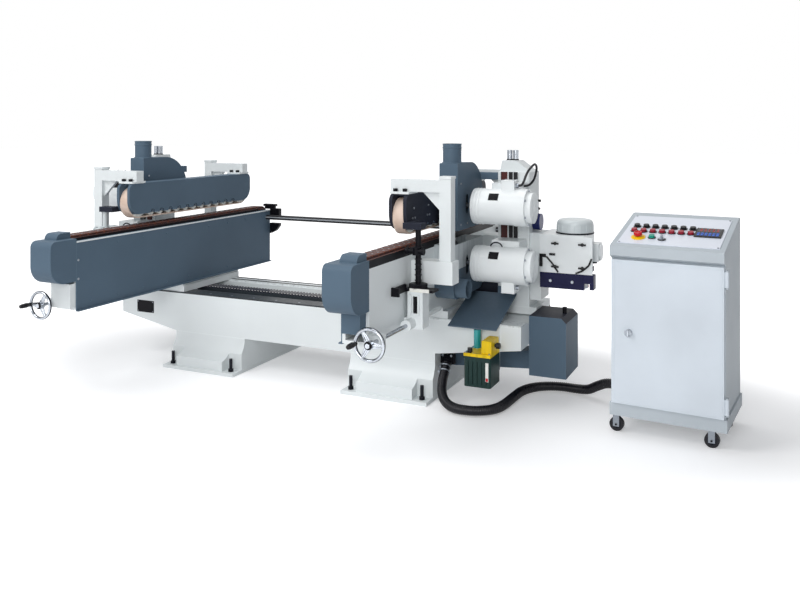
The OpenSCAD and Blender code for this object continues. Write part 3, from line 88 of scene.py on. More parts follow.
class Shader:
    """A Principled material whose colour, roughness and bump come from nodes in object space."""

    def __init__(self, name, roughness=0.4, metallic=0.0):
        self.mat = bpy.data.materials.new(name)
        self.mat.use_nodes = True
        self.tree = self.mat.node_tree
        self.bsdf = self.tree.nodes["Principled BSDF"]
        self.set("Roughness", roughness)
        self.set("Metallic", metallic)
        self.coords = self.node("ShaderNodeTexCoord").outputs["Object"]

    def set(self, key, value):
        self.bsdf.inputs[key].default_value = value

    def node(self, kind, **settings):
        made = self.tree.nodes.new(kind)
        for key, value in settings.items():
            if key in made.inputs:
                made.inputs[key].default_value = value
            else:
                setattr(made, key, value)
        return made

    def link(self, a, b):
        self.tree.links.new(a, b)

    def stretched(self, scale):
        mapping = self.node("ShaderNodeMapping", Scale=scale)
        self.link(self.coords, mapping.inputs["Vector"])
        return mapping.outputs["Vector"]

    def noise(self, scale, detail=4.0, stretch=(1, 1, 1)):
        tex = self.node("ShaderNodeTexNoise", Scale=scale, Detail=detail)
        self.link(self.stretched(stretch), tex.inputs["Vector"])
        return tex.outputs["Fac"]

    def waves(self, scale, axis):
        tex = self.node("ShaderNodeTexWave", Scale=scale, bands_direction=axis)
        self.link(self.coords, tex.inputs["Vector"])
        return tex.outputs["Fac"]

    def ramp(self, value, stops):
        made = self.node("ShaderNodeValToRGB")
        marks = made.color_ramp.elements
        for mark, (place, colour) in zip(marks, (stops[0], stops[-1])):
            mark.position, mark.color = place, colour
        for place, colour in stops[1:-1]:
            marks.new(place).color = colour
        self.link(value, made.inputs["Fac"])
        return made.outputs["Color"]

    def mix(self, factor, a, b):
        made = self.node("ShaderNodeMix", data_type="RGBA")
        self.link(factor, made.inputs[0])
        for socket, value in ((made.inputs[6], a), (made.inputs[7], b)):
            if isinstance(value, (list, tuple)):
                socket.default_value = value
            else:
                self.link(value, socket)
        return made.outputs[2]

    def edges(self, radius=0.004):
        """1 along edges and corners, 0 on flat faces."""
        bevel = self.node("ShaderNodeBevel", samples=4, Radius=radius)
        normal = self.node("ShaderNodeNewGeometry").outputs["Normal"]
        dot = self.node("ShaderNodeVectorMath", operation="DOT_PRODUCT")
        self.link(bevel.outputs["Normal"], dot.inputs[0])
        self.link(normal, dot.inputs[1])
        return self.ramp(dot.outputs["Value"], [(0.86, (1, 1, 1, 1)), (0.99, (0, 0, 0, 1))])

    def colour(self, socket):
        self.link(socket, self.bsdf.inputs["Base Color"])

    def rough(self, value, low, high):
        span = self.node("ShaderNodeMapRange", **{"To Min": low, "To Max": high})
        self.link(value, span.inputs["Value"])
        self.link(span.outputs["Result"], self.bsdf.inputs["Roughness"])

    def bump(self, height, strength, distance=0.001):
        made = self.node("ShaderNodeBump", Strength=strength, Distance=distance)
        self.link(height, made.inputs["Height"])
        self.link(made.outputs["Normal"], self.bsdf.inputs["Normal"])


def shade(colour, factor):
    return [min(1, c * factor) for c in colour[:3]] + [1]


def paint(name, hue, roughness=0.35, grain=260, strength=0.05, wear=None, gloss=0.5):
    """Sprayed paint: faint mottling, uneven gloss, orange peel and, where given, worn edges."""
    s = Shader(name, roughness)
    base = rgb(hue)
    tone = s.ramp(s.noise(2.2), [(0.3, shade(base, 0.93)), (0.7, shade(base, 1.07))])
    if wear:
        tone = s.mix(s.edges(), tone, rgb(wear))
    s.colour(tone)
    s.rough(s.noise(9), roughness - 0.06, roughness + 0.1)
    s.bump(s.noise(grain, 2), strength)
    s.set("Specular IOR Level", gloss)
    s.set("Coat Weight", 0.2 * gloss)
    s.set("Coat Roughness", 0.2)
    return s.mat


def cast_paint(name, hue):
    """Thick paint on a casting: a slow ripple under a coarse peel."""
    s = Shader(name, 0.4)
    base = rgb(hue)
    dust = s.ramp(s.noise(1.4, 6), [(0.35, shade(base, 0.93)), (0.68, shade(base, 1.03))])
    # Edges are painted 8% lighter than the faces: a painted edge highlight.
    s.colour(s.mix(s.edges(0.006), dust, shade(base, 1.08)))
    s.rough(s.noise(6), 0.32, 0.5)
    s.bump(s.noise(70, 5), 0.12, 0.002)
    return s.mat


def metal(name, hue, roughness=0.3, stretch=(1, 1, 60), scale=40, strength=0.08):
    """Machined metal with fine tool marks, stretched across their run."""
    s = Shader(name, roughness, 1.0)
    base = rgb(hue)
    marks = s.noise(scale, 6, stretch)
    s.colour(s.ramp(marks, [(0.3, shade(base, 0.78)), (0.7, shade(base, 1.12))]))
    s.rough(marks, roughness - 0.08, roughness + 0.14)
    s.bump(marks, strength, 0.0005)
    return s.mat


def plastic(name, hue, roughness=0.35, grain=500, strength=0.06, gloss=0.3):
    """Moulded plastic with a fine grain and uneven gloss."""
    s = Shader(name, roughness)
    base = rgb(hue)
    s.colour(s.ramp(s.noise(30), [(0.3, shade(base, 0.9)), (0.7, shade(base, 1.1))]))
    s.rough(s.noise(40), roughness - 0.05, roughness + 0.08)
    s.bump(s.noise(grain, 3), strength, 0.0005)
    s.set("Specular IOR Level", gloss)
    return s.mat


def ribbed_rubber(name, hue, dirt, axis, scale):
    """Rubber with fine cross ribs, lightly soiled in patches."""
    s = Shader(name, 0.7)
    ribs = s.waves(scale, axis)
    s.colour(s.ramp(s.noise(14, 6), [(0.45, rgb(hue)), (0.85, rgb(dirt))]))
    s.bump(ribs, 0.15, 0.0006)
    return s.mat


def worn_pad(name, face, edge):
    """Chain pads: dark faces with worn, rusty edges."""
    s = Shader(name, 0.6)
    mottled = s.ramp(s.noise(38, 6), [(0.35, shade(rgb(face), 0.7)), (0.7, shade(rgb(face), 1.25))])
    s.colour(s.mix(s.edges(0.005), mottled, rgb(edge)))
    s.bump(s.noise(160, 4), 0.25)
    return s.mat


def banded(name, stops, axis="X", roughness=0.4, soil="#2a2a2e"):
    """Paint in bands across an axis at given places, soiled in streaks along Z."""
    s = Shader(name, roughness)
    axes = s.node("ShaderNodeSeparateXYZ")
    s.link(s.coords, axes.inputs[0])
    low, high = stops[0][0], stops[-1][0]
    share = s.node("ShaderNodeMapRange", **{"From Min": low, "From Max": high})
    s.link(axes.outputs[axis], share.inputs["Value"])
    bands = s.ramp(share.outputs["Result"], [((x - low) / (high - low), rgb(c)) for x, c in stops])
    bands.node.color_ramp.interpolation = "CONSTANT"
    streaks = s.noise(60, 5, (1, 1, 0.05))
    cover = s.ramp(streaks, [(0.45, (0, 0, 0, 1)), (0.9, (0.5, 0.5, 0.5, 1))])
    s.colour(s.mix(cover, bands, rgb(soil)))
    s.rough(streaks, roughness - 0.1, roughness + 0.2)
    s.bump(streaks, 0.1, 0.0005)
    s.set("Specular IOR Level", 0.25)
    return s.mat


WHITE = cast_paint("white_casting", "#e2e7e8")
MOTOR = paint("motor_paint", "#e8eced", 0.3, 320)
GREY = paint("dome_paint", "#d0d7d9", 0.34, 320)
SLATE_TONE = "#556777"
SLATE = paint("slate_sheet", SLATE_TONE, 0.5, 340, 0.05, "#637887", gloss=0.1)
# Dark slate-grey sheet paint: the lift posts' lugs have it as their own colour, and it is painted shade on
# the right pressure beam, the waste box's top faces and the sheet behind the chute.
DARK_SHEET_AND_SHADE = paint("dark_sheet_and_painted_shade", "#262934", 0.5, 340, 0.05, "#3d4350", gloss=0.1)
NAVY = paint("navy_bracket", "#12143c", 0.4, 300, 0.05, "#2b2e5c", gloss=0.15)
CABINET = paint("cabinet_powder", "#b9c1c7", 0.5, 700, 0.12, gloss=0.15)
DOOR = paint("door_powder", "#d3dbe3", 0.5, 700, 0.12, gloss=0.2)
PANEL = paint("panel_plate", "#dfe4ee", 0.4, 800, 0.05)
PUMP_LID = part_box("oil_pump")[0].z + 154 * MM
PUMP = banded("pump_paint", ((0.0, "#0a2e2b"), (PUMP_LID, "#f2cb10"), (1.0, "#f2cb10")), "Z", 0.3,
              "#1d2a20")
TEAL = paint("pump_teal", "#159aa0", 0.25, 240, 0.05)
BLACK = paint("black_enamel", "#0e0e13", 0.45, 300, 0.06, "#28282f", gloss=0.1)
RED = plastic("red_plastic", "#c1121f", 0.25)
CHERRY = plastic("dark_red_plastic", "#96162c", 0.3)
LEAF = plastic("green_plastic", "#0d8f78", 0.25)
INK = plastic("black_plastic", "#0e0e11", 0.38)
AMBER = plastic("yellow_plastic", "#f0c400", 0.35)
TRAY = plastic("tray_plastic", "#12142a", 0.2, 200, 0.06, 0.6)
# Ivory plastic for the pump's sight strip; it is also a painted highlight on the tray's pins and the lift
# scales.
IVORY_AND_HIGHLIGHT = plastic("white_plastic_and_painted_highlight", "#f1f0ea", 0.4)
HOSE = plastic("hose_black", "#0a0912", 0.28, 300, 0.06, 0.35)
TREAD = plastic("caster_tread", "#1d1d22", 0.6, 200, 0.15)
STEEL = metal("bright_steel", "#959ba3", 0.3)
DARK = metal("dark_steel", "#2a2b31", 0.34, (1, 40, 40), 30)
TOOL = metal("tool_steel", "#7d8289", 0.28, (1, 8, 8), 90)
CHROME = metal("chrome", "#aeb3ba", 0.14, (1, 1, 1), 60, 0.02)
BELT = ribbed_rubber("cream_belt", "#e0cabb", "#c4a893", "Y", 60)
PAD = worn_pad("chain_pad", "#3a1a1a", "#a0562f")
SCREEN = plastic("display_glass", "#20242c", 0.12)
GLOW = plastic("display_red", "#d02a2a", 0.3)
KNOB = paint("knob_blue", "#1a2560", 0.35, 300, 0.05, "#2f3c80", gloss=0.3)
KEYS = plastic("key_blue", "#3b66c4", 0.4)
RAIL = banded("bed_way", ((-3.0, "#2e3439"), (0.157, "#dfe4e5"), (1.0, "#dfe4e5")), "X", 0.36)
# On the back way the dark band from 0.203 to 0.232 m is painted shade standing for a slot.
BACK_RAIL = banded("back_way", ((-1.0, "#dfe4e5"), (0.203, "#1c1f25"), (0.232, "#dfe4e5"),
                                (0.258, "#101216"), (1.0, "#101216")), "Y", 0.36)
# The slate soil streaks on the chute's pale upper band are soiling and also painted shade, for the mottled
# shading there.
CHUTE = banded("chute_paint", ((0.0, SLATE_TONE), (0.720, "#c6cdd0"), (2.0, "#c6cdd0")), "Z", 0.5, "#586874")
# The feed shaft is dark with a bright band along it in z: a painted highlight, which shows on both its front
# and back.
SHAFT_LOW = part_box("feed_shaft")[0].z
SHAFT = banded("shaft_highlight_band", ((0.0, "#15161b"), (SHAFT_LOW + 10 * MM, "#a3a8ad"),
                                (SHAFT_LOW + 20 * MM, "#15161b"), (2.0, "#15161b")), "Z", 0.3, "#33353b")
BEAM_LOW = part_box("left_pressure_beam")[0].z
ROLLER = banded("roller_ends", ((0.0, "#efeee8"), (BEAM_LOW - 2 * MM, "#506172"), (2.0, "#506172")), "Z")
LIFT_POST = {"right": BLACK, "left": GREY}
COLUMN_STRIPES = ((0.0, "#15151a"), (0.540, "#4a1f1c"), (0.578, "#c9cdce"), (0.585, "#101014"),
                  (0.606, "#c9cdce"), (0.611, "#101014"), (1.0, "#101014"))
COLUMN_WAY = {
    "right": banded("right_column_way", COLUMN_STRIPES),
    "left": banded("left_column_way", ((MIRROR_X - 1.0, "#101014"), (MIRROR_X - 0.611, "#c9cdce"),
                                       (MIRROR_X - 0.606, "#101014"), (MIRROR_X - 0.585, "#c9cdce"),
                                       (MIRROR_X - 0.578, "#4a1f1c"), (MIRROR_X, "#15151a"))),
}


# Mesh helpers
def turns(count, start=0.0):
    """Angles all round in equal steps."""
    return [2 * math.pi * (i + start) / count for i in range(count)]


def join_rows(bm, rows):
    """Skins rows of vertices, each a loop, and closes both ends."""
    for a, b in zip(rows, rows[1:]):
        for k in range(len(a)):
            n = (k + 1) % len(a)
            bm.faces.new((a[k], a[n], b[n], b[k]))
    bm.faces.new(rows[0])
    bm.faces.new(rows[-1][::-1])


def add_box(bm, lo, hi):
    made = bmesh.ops.create_cube(bm, size=1)["verts"]
    lo, hi = Vector(lo), Vector(hi)
    for v in made:
        v.co = Vector([lo[i] + (v.co[i] + 0.5) * (hi[i] - lo[i]) for i in range(3)])
    return made


def add_rod(bm, start, end, r, sides=32, r_end=None):
    start, end = Vector(start), Vector(end)
    way = end - start
    place = Matrix.Translation((start + end) / 2) @ way.to_track_quat("Z", "Y").to_matrix().to_4x4()
    bmesh.ops.create_cone(bm, cap_ends=True, segments=sides, radius1=r, depth=way.length, matrix=place,
                          radius2=r if r_end is None else r_end)


def add_ring(bm, centre, axis, radius, thick, sides=48, section=10):
    """A torus about an axis."""
    turn = Vector(axis).to_track_quat("Z", "Y").to_matrix()
    rows = []
    for a in turns(sides):
        out = Vector((math.cos(a), math.sin(a), 0))
        section_points = [out * (radius + thick * math.cos(b)) + Vector((0, 0, thick * math.sin(b)))
                          for b in turns(section)]
        rows.append([bm.verts.new(Vector(centre) + turn @ p) for p in section_points])
    for a, b in zip(rows, rows[1:] + rows[:1]):
        for k in range(section):
            n = (k + 1) % section
            bm.faces.new((a[k], b[k], b[n], a[n]))


def add_tube(bm, path, radii, sides=16, across=(0, 0, 1)):
    """A tube along a path, with a radius for each point; across is any way off its start."""
    rows, across = [], Vector(across)
    for j, (mid, r) in enumerate(zip(path, radii)):
        way = (path[min(j + 1, len(path) - 1)] - path[max(j - 1, 0)]).normalized()
        across = (across - across.dot(way) * way).normalized()
        up = way.cross(across)
        rows.append([bm.verts.new(mid + r * (math.cos(a) * across + math.sin(a) * up)) for a in turns(sides)])
    join_rows(bm, rows)


def add_plate(bm, points, along, thick):
    """A flat outline of points pushed along a direction by a thickness."""
    lift = Vector(along).normalized() * thick
    join_rows(bm, [[bm.verts.new(Vector(p) + lift * k) for p in points] for k in (0, 1)])


def piece(name, body, material, bm, bevel=0.0, smooth=40):
    """Makes an object of a bmesh, with rounded edges, that rides on a body."""
    bmesh.ops.recalc_face_normals(bm, faces=bm.faces)
    mesh = bpy.data.meshes.new(name)
    bm.to_mesh(mesh)
    bm.free()
    mesh.materials.append(material)
    obj = bpy.data.objects.new(name, mesh)
    bpy.context.scene.collection.objects.link(obj)
    if bevel:
        mod = obj.modifiers.new("edges", "BEVEL")
        mod.width = bevel
        mod.segments = 2
        mod.limit_method = "ANGLE"
    mesh.shade_smooth()
    mesh.set_sharp_from_angle(angle=math.radians(smooth))
    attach(obj, body)
    return obj


def plates(name, body, material, corners, bevel=0.0, place=None):
    """A piece of plates or bars, each given by two corners, in the place's own frame if one is given."""
    bm = bmesh.new()
    for lo, hi in corners:
        for v in add_box(bm, lo, hi):
            v.co = place(*v.co) if place else v.co
    piece(name, body, material, bm, bevel)


def rings(name, body, material, middles, axis, radius, thick, sides=32, section=8):
    """A piece of equal rings."""
    bm = bmesh.new()
    for middle in middles:
        add_ring(bm, middle, axis, radius, thick, sides, section)
    piece(name, body, material, bm)


def bolts(name, body, spots, way, r, sides=6, bevel=0.0, material=STEEL, r_end=None):
    """A piece of equal bolts, screws or pins, one from each spot."""
    bm = bmesh.new()
    for spot in spots:
        add_rod(bm, spot, Vector(spot) + Vector(way), r, sides, r_end)
    piece(name, body, material, bm, bevel)


def at(side, x):
    """A right-hand x place on either unit."""
    return x if side == "right" else MIRROR_X - x


def span(side, lo, hi):
    """Corners of a right-hand box on either unit."""
    xs = sorted((at(side, lo[0]), at(side, hi[0])))
    return (xs[0], lo[1], lo[2]), (xs[1], hi[1], hi[2])


def head_shift(side):
    """How far along y a unit's heads stand from the right-hand ones."""
    return -LEFT_HEAD_LEAD if side == "left" else 0


def on_cabinet(x, y, z):
    """A place in the cabinet's own frame."""
    return Matrix.Rotation(CABINET_TURN, 4, "Z") @ Vector((x, y, z)) + Vector(CABINET_PLACE)


def on_desk(x, y, z):
    """A place on the cabinet's sloped panel."""
    return on_cabinet(*(Matrix.Rotation(DESK_SLOPE, 4, "X") @ Vector((x, y, z)) + Vector(DESK_PLACE)))


def dress(name, material, *others):
    """Gives a CAD node its material, and other materials to the faces that their tests pick."""
    obj = nodes[name]
    obj.data.materials.clear()
    for m in (material, *[m for m, test in others]):
        obj.data.materials.append(m)
    for face in obj.data.polygons:
        face.material_index = 0
        for i, (m, test) in enumerate(others):
            if test(face.center, face.normal):
                face.material_index = i + 1
    obj.data.shade_smooth()
    obj.data.set_sharp_from_angle(angle=math.radians(30))


# CAD nodes and their finishes
def plain_nodes():
    everywhere = {
        "bed": WHITE, "left_pedestal": WHITE, "right_pedestal": WHITE,
        "levelling_bolts": DARK, "feed_shaft": SHAFT, "hose_fittings": BLACK,
        "cabinet_body": CABINET, "cabinet_door": DOOR, "door_lock": STEEL, "selector_switch": STEEL,
        "left_caster_fork": STEEL, "right_caster_fork": STEEL, "rear_caster_forks": STEEL,
        "left_caster_wheel": TREAD, "right_caster_wheel": TREAD, "rear_caster_wheels": TREAD,
        "right_chip_chute": CHUTE, "right_side_cutter": TOOL, "emergency_stop": RED,
        # Painted shade: the right pressure beam gets the dark sheet paint, darker than the left one, where it
        # stands in shadow.
        "left_pressure_beam": SLATE, "right_pressure_beam": DARK_SHEET_AND_SHADE,
    }
    for name, material in everywhere.items():
        dress(name, material)
    for side in SIDES:
        for part, material in (("side_panel", SLATE), ("end_cover", SLATE),
                               ("pressure_belt", BELT), ("pressure_rollers", ROLLER), ("dust_hood", SLATE),
                               ("upper_cutter", TOOL), ("lower_cutter", TOOL), ("gantries", WHITE)):
            dress(f"{side}_{part}", material)


def is_over(level):
    return lambda centre, normal: centre.z > level


def mixed_nodes():
    """Nodes with more than one finish, told apart by where their faces lie."""
    dress("bed_rails", RAIL, (BACK_RAIL, lambda c, n: c.y > 0.1))
    pad_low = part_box("right_feed_chain")[1].z - 24 * MM
    gear_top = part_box("right_lift_gearbox")[1].z - 42 * MM
    for side in SIDES:
        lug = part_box(f"{side}_lift_post")[1].z - 31 * MM
        dress(f"{side}_lift_post", LIFT_POST[side], (DARK_SHEET_AND_SHADE, is_over(lug)))
        dress(f"{side}_feed_chain", BLACK, (PAD, is_over(pad_low)))
        grip_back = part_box(f"{side}_handwheel")[0].y + 63 * MM
        wheel_x, hub = at(side, WHEEL[0]), 62 * MM
        dress(f"{side}_handwheel", CHROME,
              (DARK, lambda c, n: math.hypot(c.x - wheel_x, c.z - WHEEL[2]) > hub),
              (BLACK, lambda c, n: c.y < grip_back))
        lo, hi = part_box(f"{side}_column")
        way_depth, rod_length, knob_x, knob_low = 11 * MM, 55 * MM, 0.7005, 0.9
        dress(f"{side}_column", WHITE,
              (CHROME, is_over(hi.z - rod_length)),
              (COLUMN_WAY[side], lambda c, n: c.y < lo.y + way_depth),
              (KNOB, lambda c, n: side == "right" and c.x > knob_x and c.z > knob_low))
        for level in HEAD_Z:
            dress(f"{side}_{level}_motor", MOTOR)
    dress("right_frame", WHITE)
    left_gear = lambda c, n: c.x < MIRROR_X - 0.3 and c.y < -0.7 and gear_top < c.z < gear_top + 43 * MM
    dress("left_frame", WHITE, (BLACK, left_gear))
    dress("right_lift_gearbox", WHITE, (BLACK, is_over(gear_top)))
    foot_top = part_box("right_side_head")[0].z + 94 * MM
    dress("right_side_head", MOTOR, (NAVY, lambda c, n: c.z < foot_top), (GREY, is_over(foot_top + 212 * MM)))
    waste_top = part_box("waste_box")[1].z
    # Upward faces near the top get the dark sheet paint: painted shade, so the top is darker than the sides.
    dress("waste_box", SLATE,
          (DARK_SHEET_AND_SHADE, lambda c, n: n.z > 0.7 and c.z > waste_top - 60 * MM),
          (BLACK, is_over(waste_top - 33 * MM)))
    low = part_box("oil_pump")[0]
    lid, back, cylinder, knob = low.z + 144 * MM, -0.309, low.x + 54 * MM, low.x + 42 * MM
    head = lid + 23 * MM
    dress("oil_pump", PUMP,
          (WHITE, lambda c, n: c.z > lid and c.y >= back),
          (TEAL, lambda c, n: c.z > head and c.x < cylinder and -0.37 < c.y < back),
          (INK, lambda c, n: c.z > head and c.x < knob and c.y < -0.40))
    dress("control_panel", PANEL)
    row_gap, low_row = (on_desk(0, y, 0).y for y in (0.227, 0.160))
    across = lambda c: c.y + (c.x - CABINET_PLACE[0]) * math.tan(-CABINET_TURN)
    dress("push_buttons", INK,
          (CHERRY, lambda c, n: low_row < across(c) < row_gap),
          (LEAF, lambda c, n: across(c) <= low_row))


# Base pieces
def lead_screw_thread():
    """The lead screw with its thread, wound as a ridge on a rod."""
    lo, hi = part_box("lead_screw")
    mid_y, mid_z = (lo.y + hi.y) / 2, (lo.z + hi.z) / 2
    radius, depth = (hi.z - lo.z) / 2, 3 * MM
    pitch, turn_steps, sides = 20 * MM, 6, 12
    steps = int((hi.x - lo.x) / pitch * turn_steps)
    bm = bmesh.new()
    rows = []
    for i in range(steps + 1):
        x = lo.x + (hi.x - lo.x) * i / steps
        row = []
        for k, a in enumerate(turns(sides)):
            phase = ((x - lo.x) / pitch + k / sides) % 1
            r = radius - (depth if phase > 0.5 else 0)
            row.append(bm.verts.new((x, mid_y + r * math.cos(a), mid_z + r * math.sin(a))))
        rows.append(row)
    join_rows(bm, rows)
    obj = piece("lead_screw_thread", "lead_screw", STEEL, bm, smooth=25)
    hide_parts("lead_screw")


HOSE_D = 52 * MM
HOSE_RIBS = 150
HOSE_ROUTE = (
    (300, -236, 190), (306, -278, 154), (313, -327, 112), (329, -374, 76), (358, -415, 50),
    (398, -446, 35), (445, -463, 29), (495, -466, 29), (544, -455, 29), (588, -429, 29),
    (622, -392, 29), (642, -345, 29), (652, -280, 29), (657, -205, 29), (661, -130, 29),
    (668, -56, 29), (690, 12, 29), (730, 70, 29), (790, 110, 29), (862, 128, 29), (936, 122, 30),
    (1004, 98, 42), (1060, 66, 76), (1114, 34, 106), (1170, 9, 116), (1198, 6.5, 116), (1226, 4, 116),
)
LEAD_D = 13 * MM
LEAD_ROUTE = (
    (698, -200, 1171), (716, -200, 1176), (729, -198, 1200), (741, -190, 1236), (757, -166, 1268),
    (768, -132, 1284), (771, -106, 1268), (762, -86, 1234), (745, -70, 1196), (718, -62, 1168),
    (686, -60, 1160),
)


def smooth_route(points, steps):
    """A Catmull-Rom curve through points in mm."""
    points = [Vector(p) * MM for p in points]
    ends = [2 * points[0] - points[1], *points, 2 * points[-1] - points[-2]]
    curve = []
    for a, b, c, d in zip(ends, ends[1:], ends[2:], ends[3:]):
        for k in range(steps):
            t = k / steps
            curve.append((2 * b + (c - a) * t + (2 * a - 5 * b + 4 * c - d) * t * t
                          + (3 * b - a - 3 * c + d) * t ** 3) / 2)
    return curve + [points[-1]]


def even_steps(curve, count):
    """Points at equal distances along a curve, and its length."""
    runs = [0.0]
    for a, b in zip(curve, curve[1:]):
        runs.append(runs[-1] + (b - a).length)
    made, i = [], 0
    for j in range(count + 1):
        s = runs[-1] * j / count
        while i < len(curve) - 2 and runs[i + 1] < s:
            i += 1
        made.append(curve[i].lerp(curve[i + 1], (s - runs[i]) / (runs[i + 1] - runs[i])))
    return made, runs[-1]


def conduit_hose():
    """The ribbed conduit between the pedestal and the cabinet."""
    rib_rings, sides, groove = 4, 20, 3 * MM
    path, length = even_steps(smooth_route(HOSE_ROUTE, 12), HOSE_RIBS * rib_rings)
    dips = [groove * (0.5 + 0.5 * math.cos(2 * math.pi * j / rib_rings)) for j in range(len(path))]
    bm = bmesh.new()
    add_tube(bm, path, [HOSE_D / 2 - dip for dip in dips], sides)
    obj = piece("conduit_hose", "base", HOSE, bm, smooth=80)
    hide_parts("hose")
    return path


def hose_clamps(path):
    """Clamp rings with their screw blocks along the hose, and bolts on its bracket."""
    bm = bmesh.new()
    half = Vector((7 * MM,) * 3)
    for share in (0.016, 0.036, 0.985):
        i = int(len(path) * share)
        way = path[i + 1] - path[i - 1]
        add_ring(bm, path[i], way, HOSE_D / 2 + 1 * MM, 4 * MM)
        block = path[i] + way.cross(Vector((0, 0, 1))).normalized() * 30 * MM
        add_box(bm, block - half, block + half)
    piece("hose_clamps", "base", STEEL, bm, 1 * MM)
    spots = [(x, -214 * MM, 226 * MM) for x in (272 * MM, 322 * MM)]
    bolts("hose_bracket_bolts", "base", spots, (0, -9 * MM, 0), 7 * MM, 6, 0.6 * MM)


PLATE_X0, PLATE_X1 = -1.815, -1.680
PLATE_Z0, PLATE_Z1 = 0.292, 0.368
SCREW_RUNS = ((-9.0, -1.66), (-1.4, 0.14))     # ways that the frames leave free
TRAY_X, TRAY_TOP, TRAY_LINKS = -1.893, 436 * MM, 88


def bed_details():
    """Plate with rivets, screws along the ways, and the cable tray's links with white pins on their front
    edge, which are painted glints.
    """
    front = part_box("bed")[0].y
    plates("bed_nameplate", "base", BLACK,
           [((PLATE_X0, front - 2 * MM, PLATE_Z0), (PLATE_X1, front, PLATE_Z1))], 0.8 * MM)
    inset = 8 * MM
    spots = [(x, front - 1 * MM, z) for x in (PLATE_X0 + inset, PLATE_X1 - inset)
             for z in (PLATE_Z0 + inset, PLATE_Z1 - inset)]
    bolts("bed_nameplate_rivets", "base", spots, (0, -2.5 * MM, 0), 3 * MM, 12)
    lo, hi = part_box("bed_rails")
    pitch, inset = 160 * MM, 35 * MM
    xs = [lo.x + inset + i * pitch for i in range(int((hi.x - lo.x - 2 * inset) / pitch) + 1)]
    spots = [(x, y, hi.z - 3 * MM) for x in xs for y in (lo.y + inset, hi.y - inset)
             if any(start < x < end for start, end in SCREW_RUNS)]
    bolts("rail_screws", "base", spots, (0, 0, 3.2 * MM), 8 * MM, 20, 0.6 * MM)
    pitch, link = 22 * MM, 13 * MM
    xs = [TRAY_X + i * pitch for i in range(TRAY_LINKS)]
    links = [((x, -66 * MM, TRAY_TOP - 1 * MM), (x + link, 32 * MM, TRAY_TOP + 6.5 * MM)) for x in xs]
    plates("tray_links", "base", TRAY, links, 2.5 * MM)
    # White pins along the tray's front edge: painted glints.
    spots = [(x + 6 * MM, -58 * MM, TRAY_TOP) for x in xs]
    bolts("tray_glint_pins", "base", spots, (0, 0, 7.5 * MM), 5 * MM, 12, 0, IVORY_AND_HIGHLIGHT, 4 * MM)


# Side unit pieces
def side_panel_trim(side):
    """White top edge of the side panel, its countersunk screws and two bright ones in front."""
    lo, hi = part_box(f"{side}_side_panel")
    body, face, out = CARRIER[side], at(side, PANEL_FACE), (at(side, -4 * MM) - at(side, 0), 0, 0)
    edge = span(side, (PANEL_FACE - 2 * MM, lo.y, hi.z - 7 * MM), (PANEL_FACE, hi.y, hi.z + 1 * MM))
    plates(f"{side}_panel_edge", body, WHITE, [edge], 0.8 * MM)
    count, inset = 9, 40 * MM
    spots = [(face, lo.y + (hi.y - lo.y) * (i + 0.5) / count, z) for i in range(count)
             for z in (lo.z + inset, hi.z - inset)]
    bolts(f"{side}_panel_screws", body, spots, out, 6 * MM, 16, 0, SLATE, 4.5 * MM)
    spots = [(face, lo.y + 14 * MM, hi.z - share * (hi.z - lo.z)) for share in (0.27, 0.54)]
    bolts(f"{side}_front_screws", body, spots, out, 7 * MM, 16, r_end=5 * MM)


def rear_bearing(side):
    """Black bearing at the panel's rear edge: block over the shaft, wedge under it, chain guard."""
    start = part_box(f"{side}_side_panel")[1].y - 2 * MM
    end, stem_in = start + 34 * MM, 4 * MM
    reach, edge = 78 * MM, PANEL_FACE
    bm = bmesh.new()
    for lo, hi in (((reach, start, 828 * MM), (edge, end, 883 * MM)),
                   ((122 * MM, start + stem_in, 878 * MM), (205 * MM, end - stem_in, 899 * MM)),
                   ((112 * MM, start, 898 * MM), (215 * MM, end, 914 * MM))):
        add_box(bm, *span(side, lo, hi))
    wedge = ((157, 777), (78, 777), (82, 755), (110, 722), (157, 700))
    add_plate(bm, [(at(side, x * MM), start, z * MM) for x, z in wedge], (0, 1, 0), end - start)
    piece(f"{side}_rear_bearing", CARRIER[side], BLACK, bm, 2 * MM)


def chain_pads(side):
    """Pads bolted on the chain's upper run, each with two screw heads."""
    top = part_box(f"{side}_feed_chain")[1].z
    start, end, pitch, length = -1.155, 0.640, 60 * MM, 51 * MM
    ys = [start + i * pitch for i in range(int((end - start) / pitch))]
    pads = [span(side, (205 * MM, y, top - 7 * MM), (283 * MM, y + length, top + 1 * MM)) for y in ys]
    plates(f"{side}_chain_pads", CARRIER[side], PAD, pads, 2.5 * MM)
    spots = [(at(side, x), y + 25 * MM, top) for y in ys for x in (226 * MM, 262 * MM)]
    bolts(f"{side}_pad_screws", CARRIER[side], spots, (0, 0, 1.6 * MM), 5 * MM, 12)


def beam_bolts(side):
    """Groups of three hexagon bolts along the beam's outer side."""
    lo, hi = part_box(f"{side}_pressure_beam")
    groups, first, rest = 6, 90 * MM, 260 * MM
    ys = [lo.y + first + i * (hi.y - lo.y - rest) / (groups - 1) for i in range(groups)]
    spots = [(at(side, 285 * MM), y + dy, lo.z + dz) for y in ys
             for dy, dz in ((-14 * MM, 58 * MM), (14 * MM, 58 * MM), (0, 108 * MM))]
    out = (at(side, 5 * MM) - at(side, 0), 0, 0)
    bolts(f"{side}_beam_bolts", f"{side}_pressure", spots, out, 6 * MM, 6, 0.6 * MM)


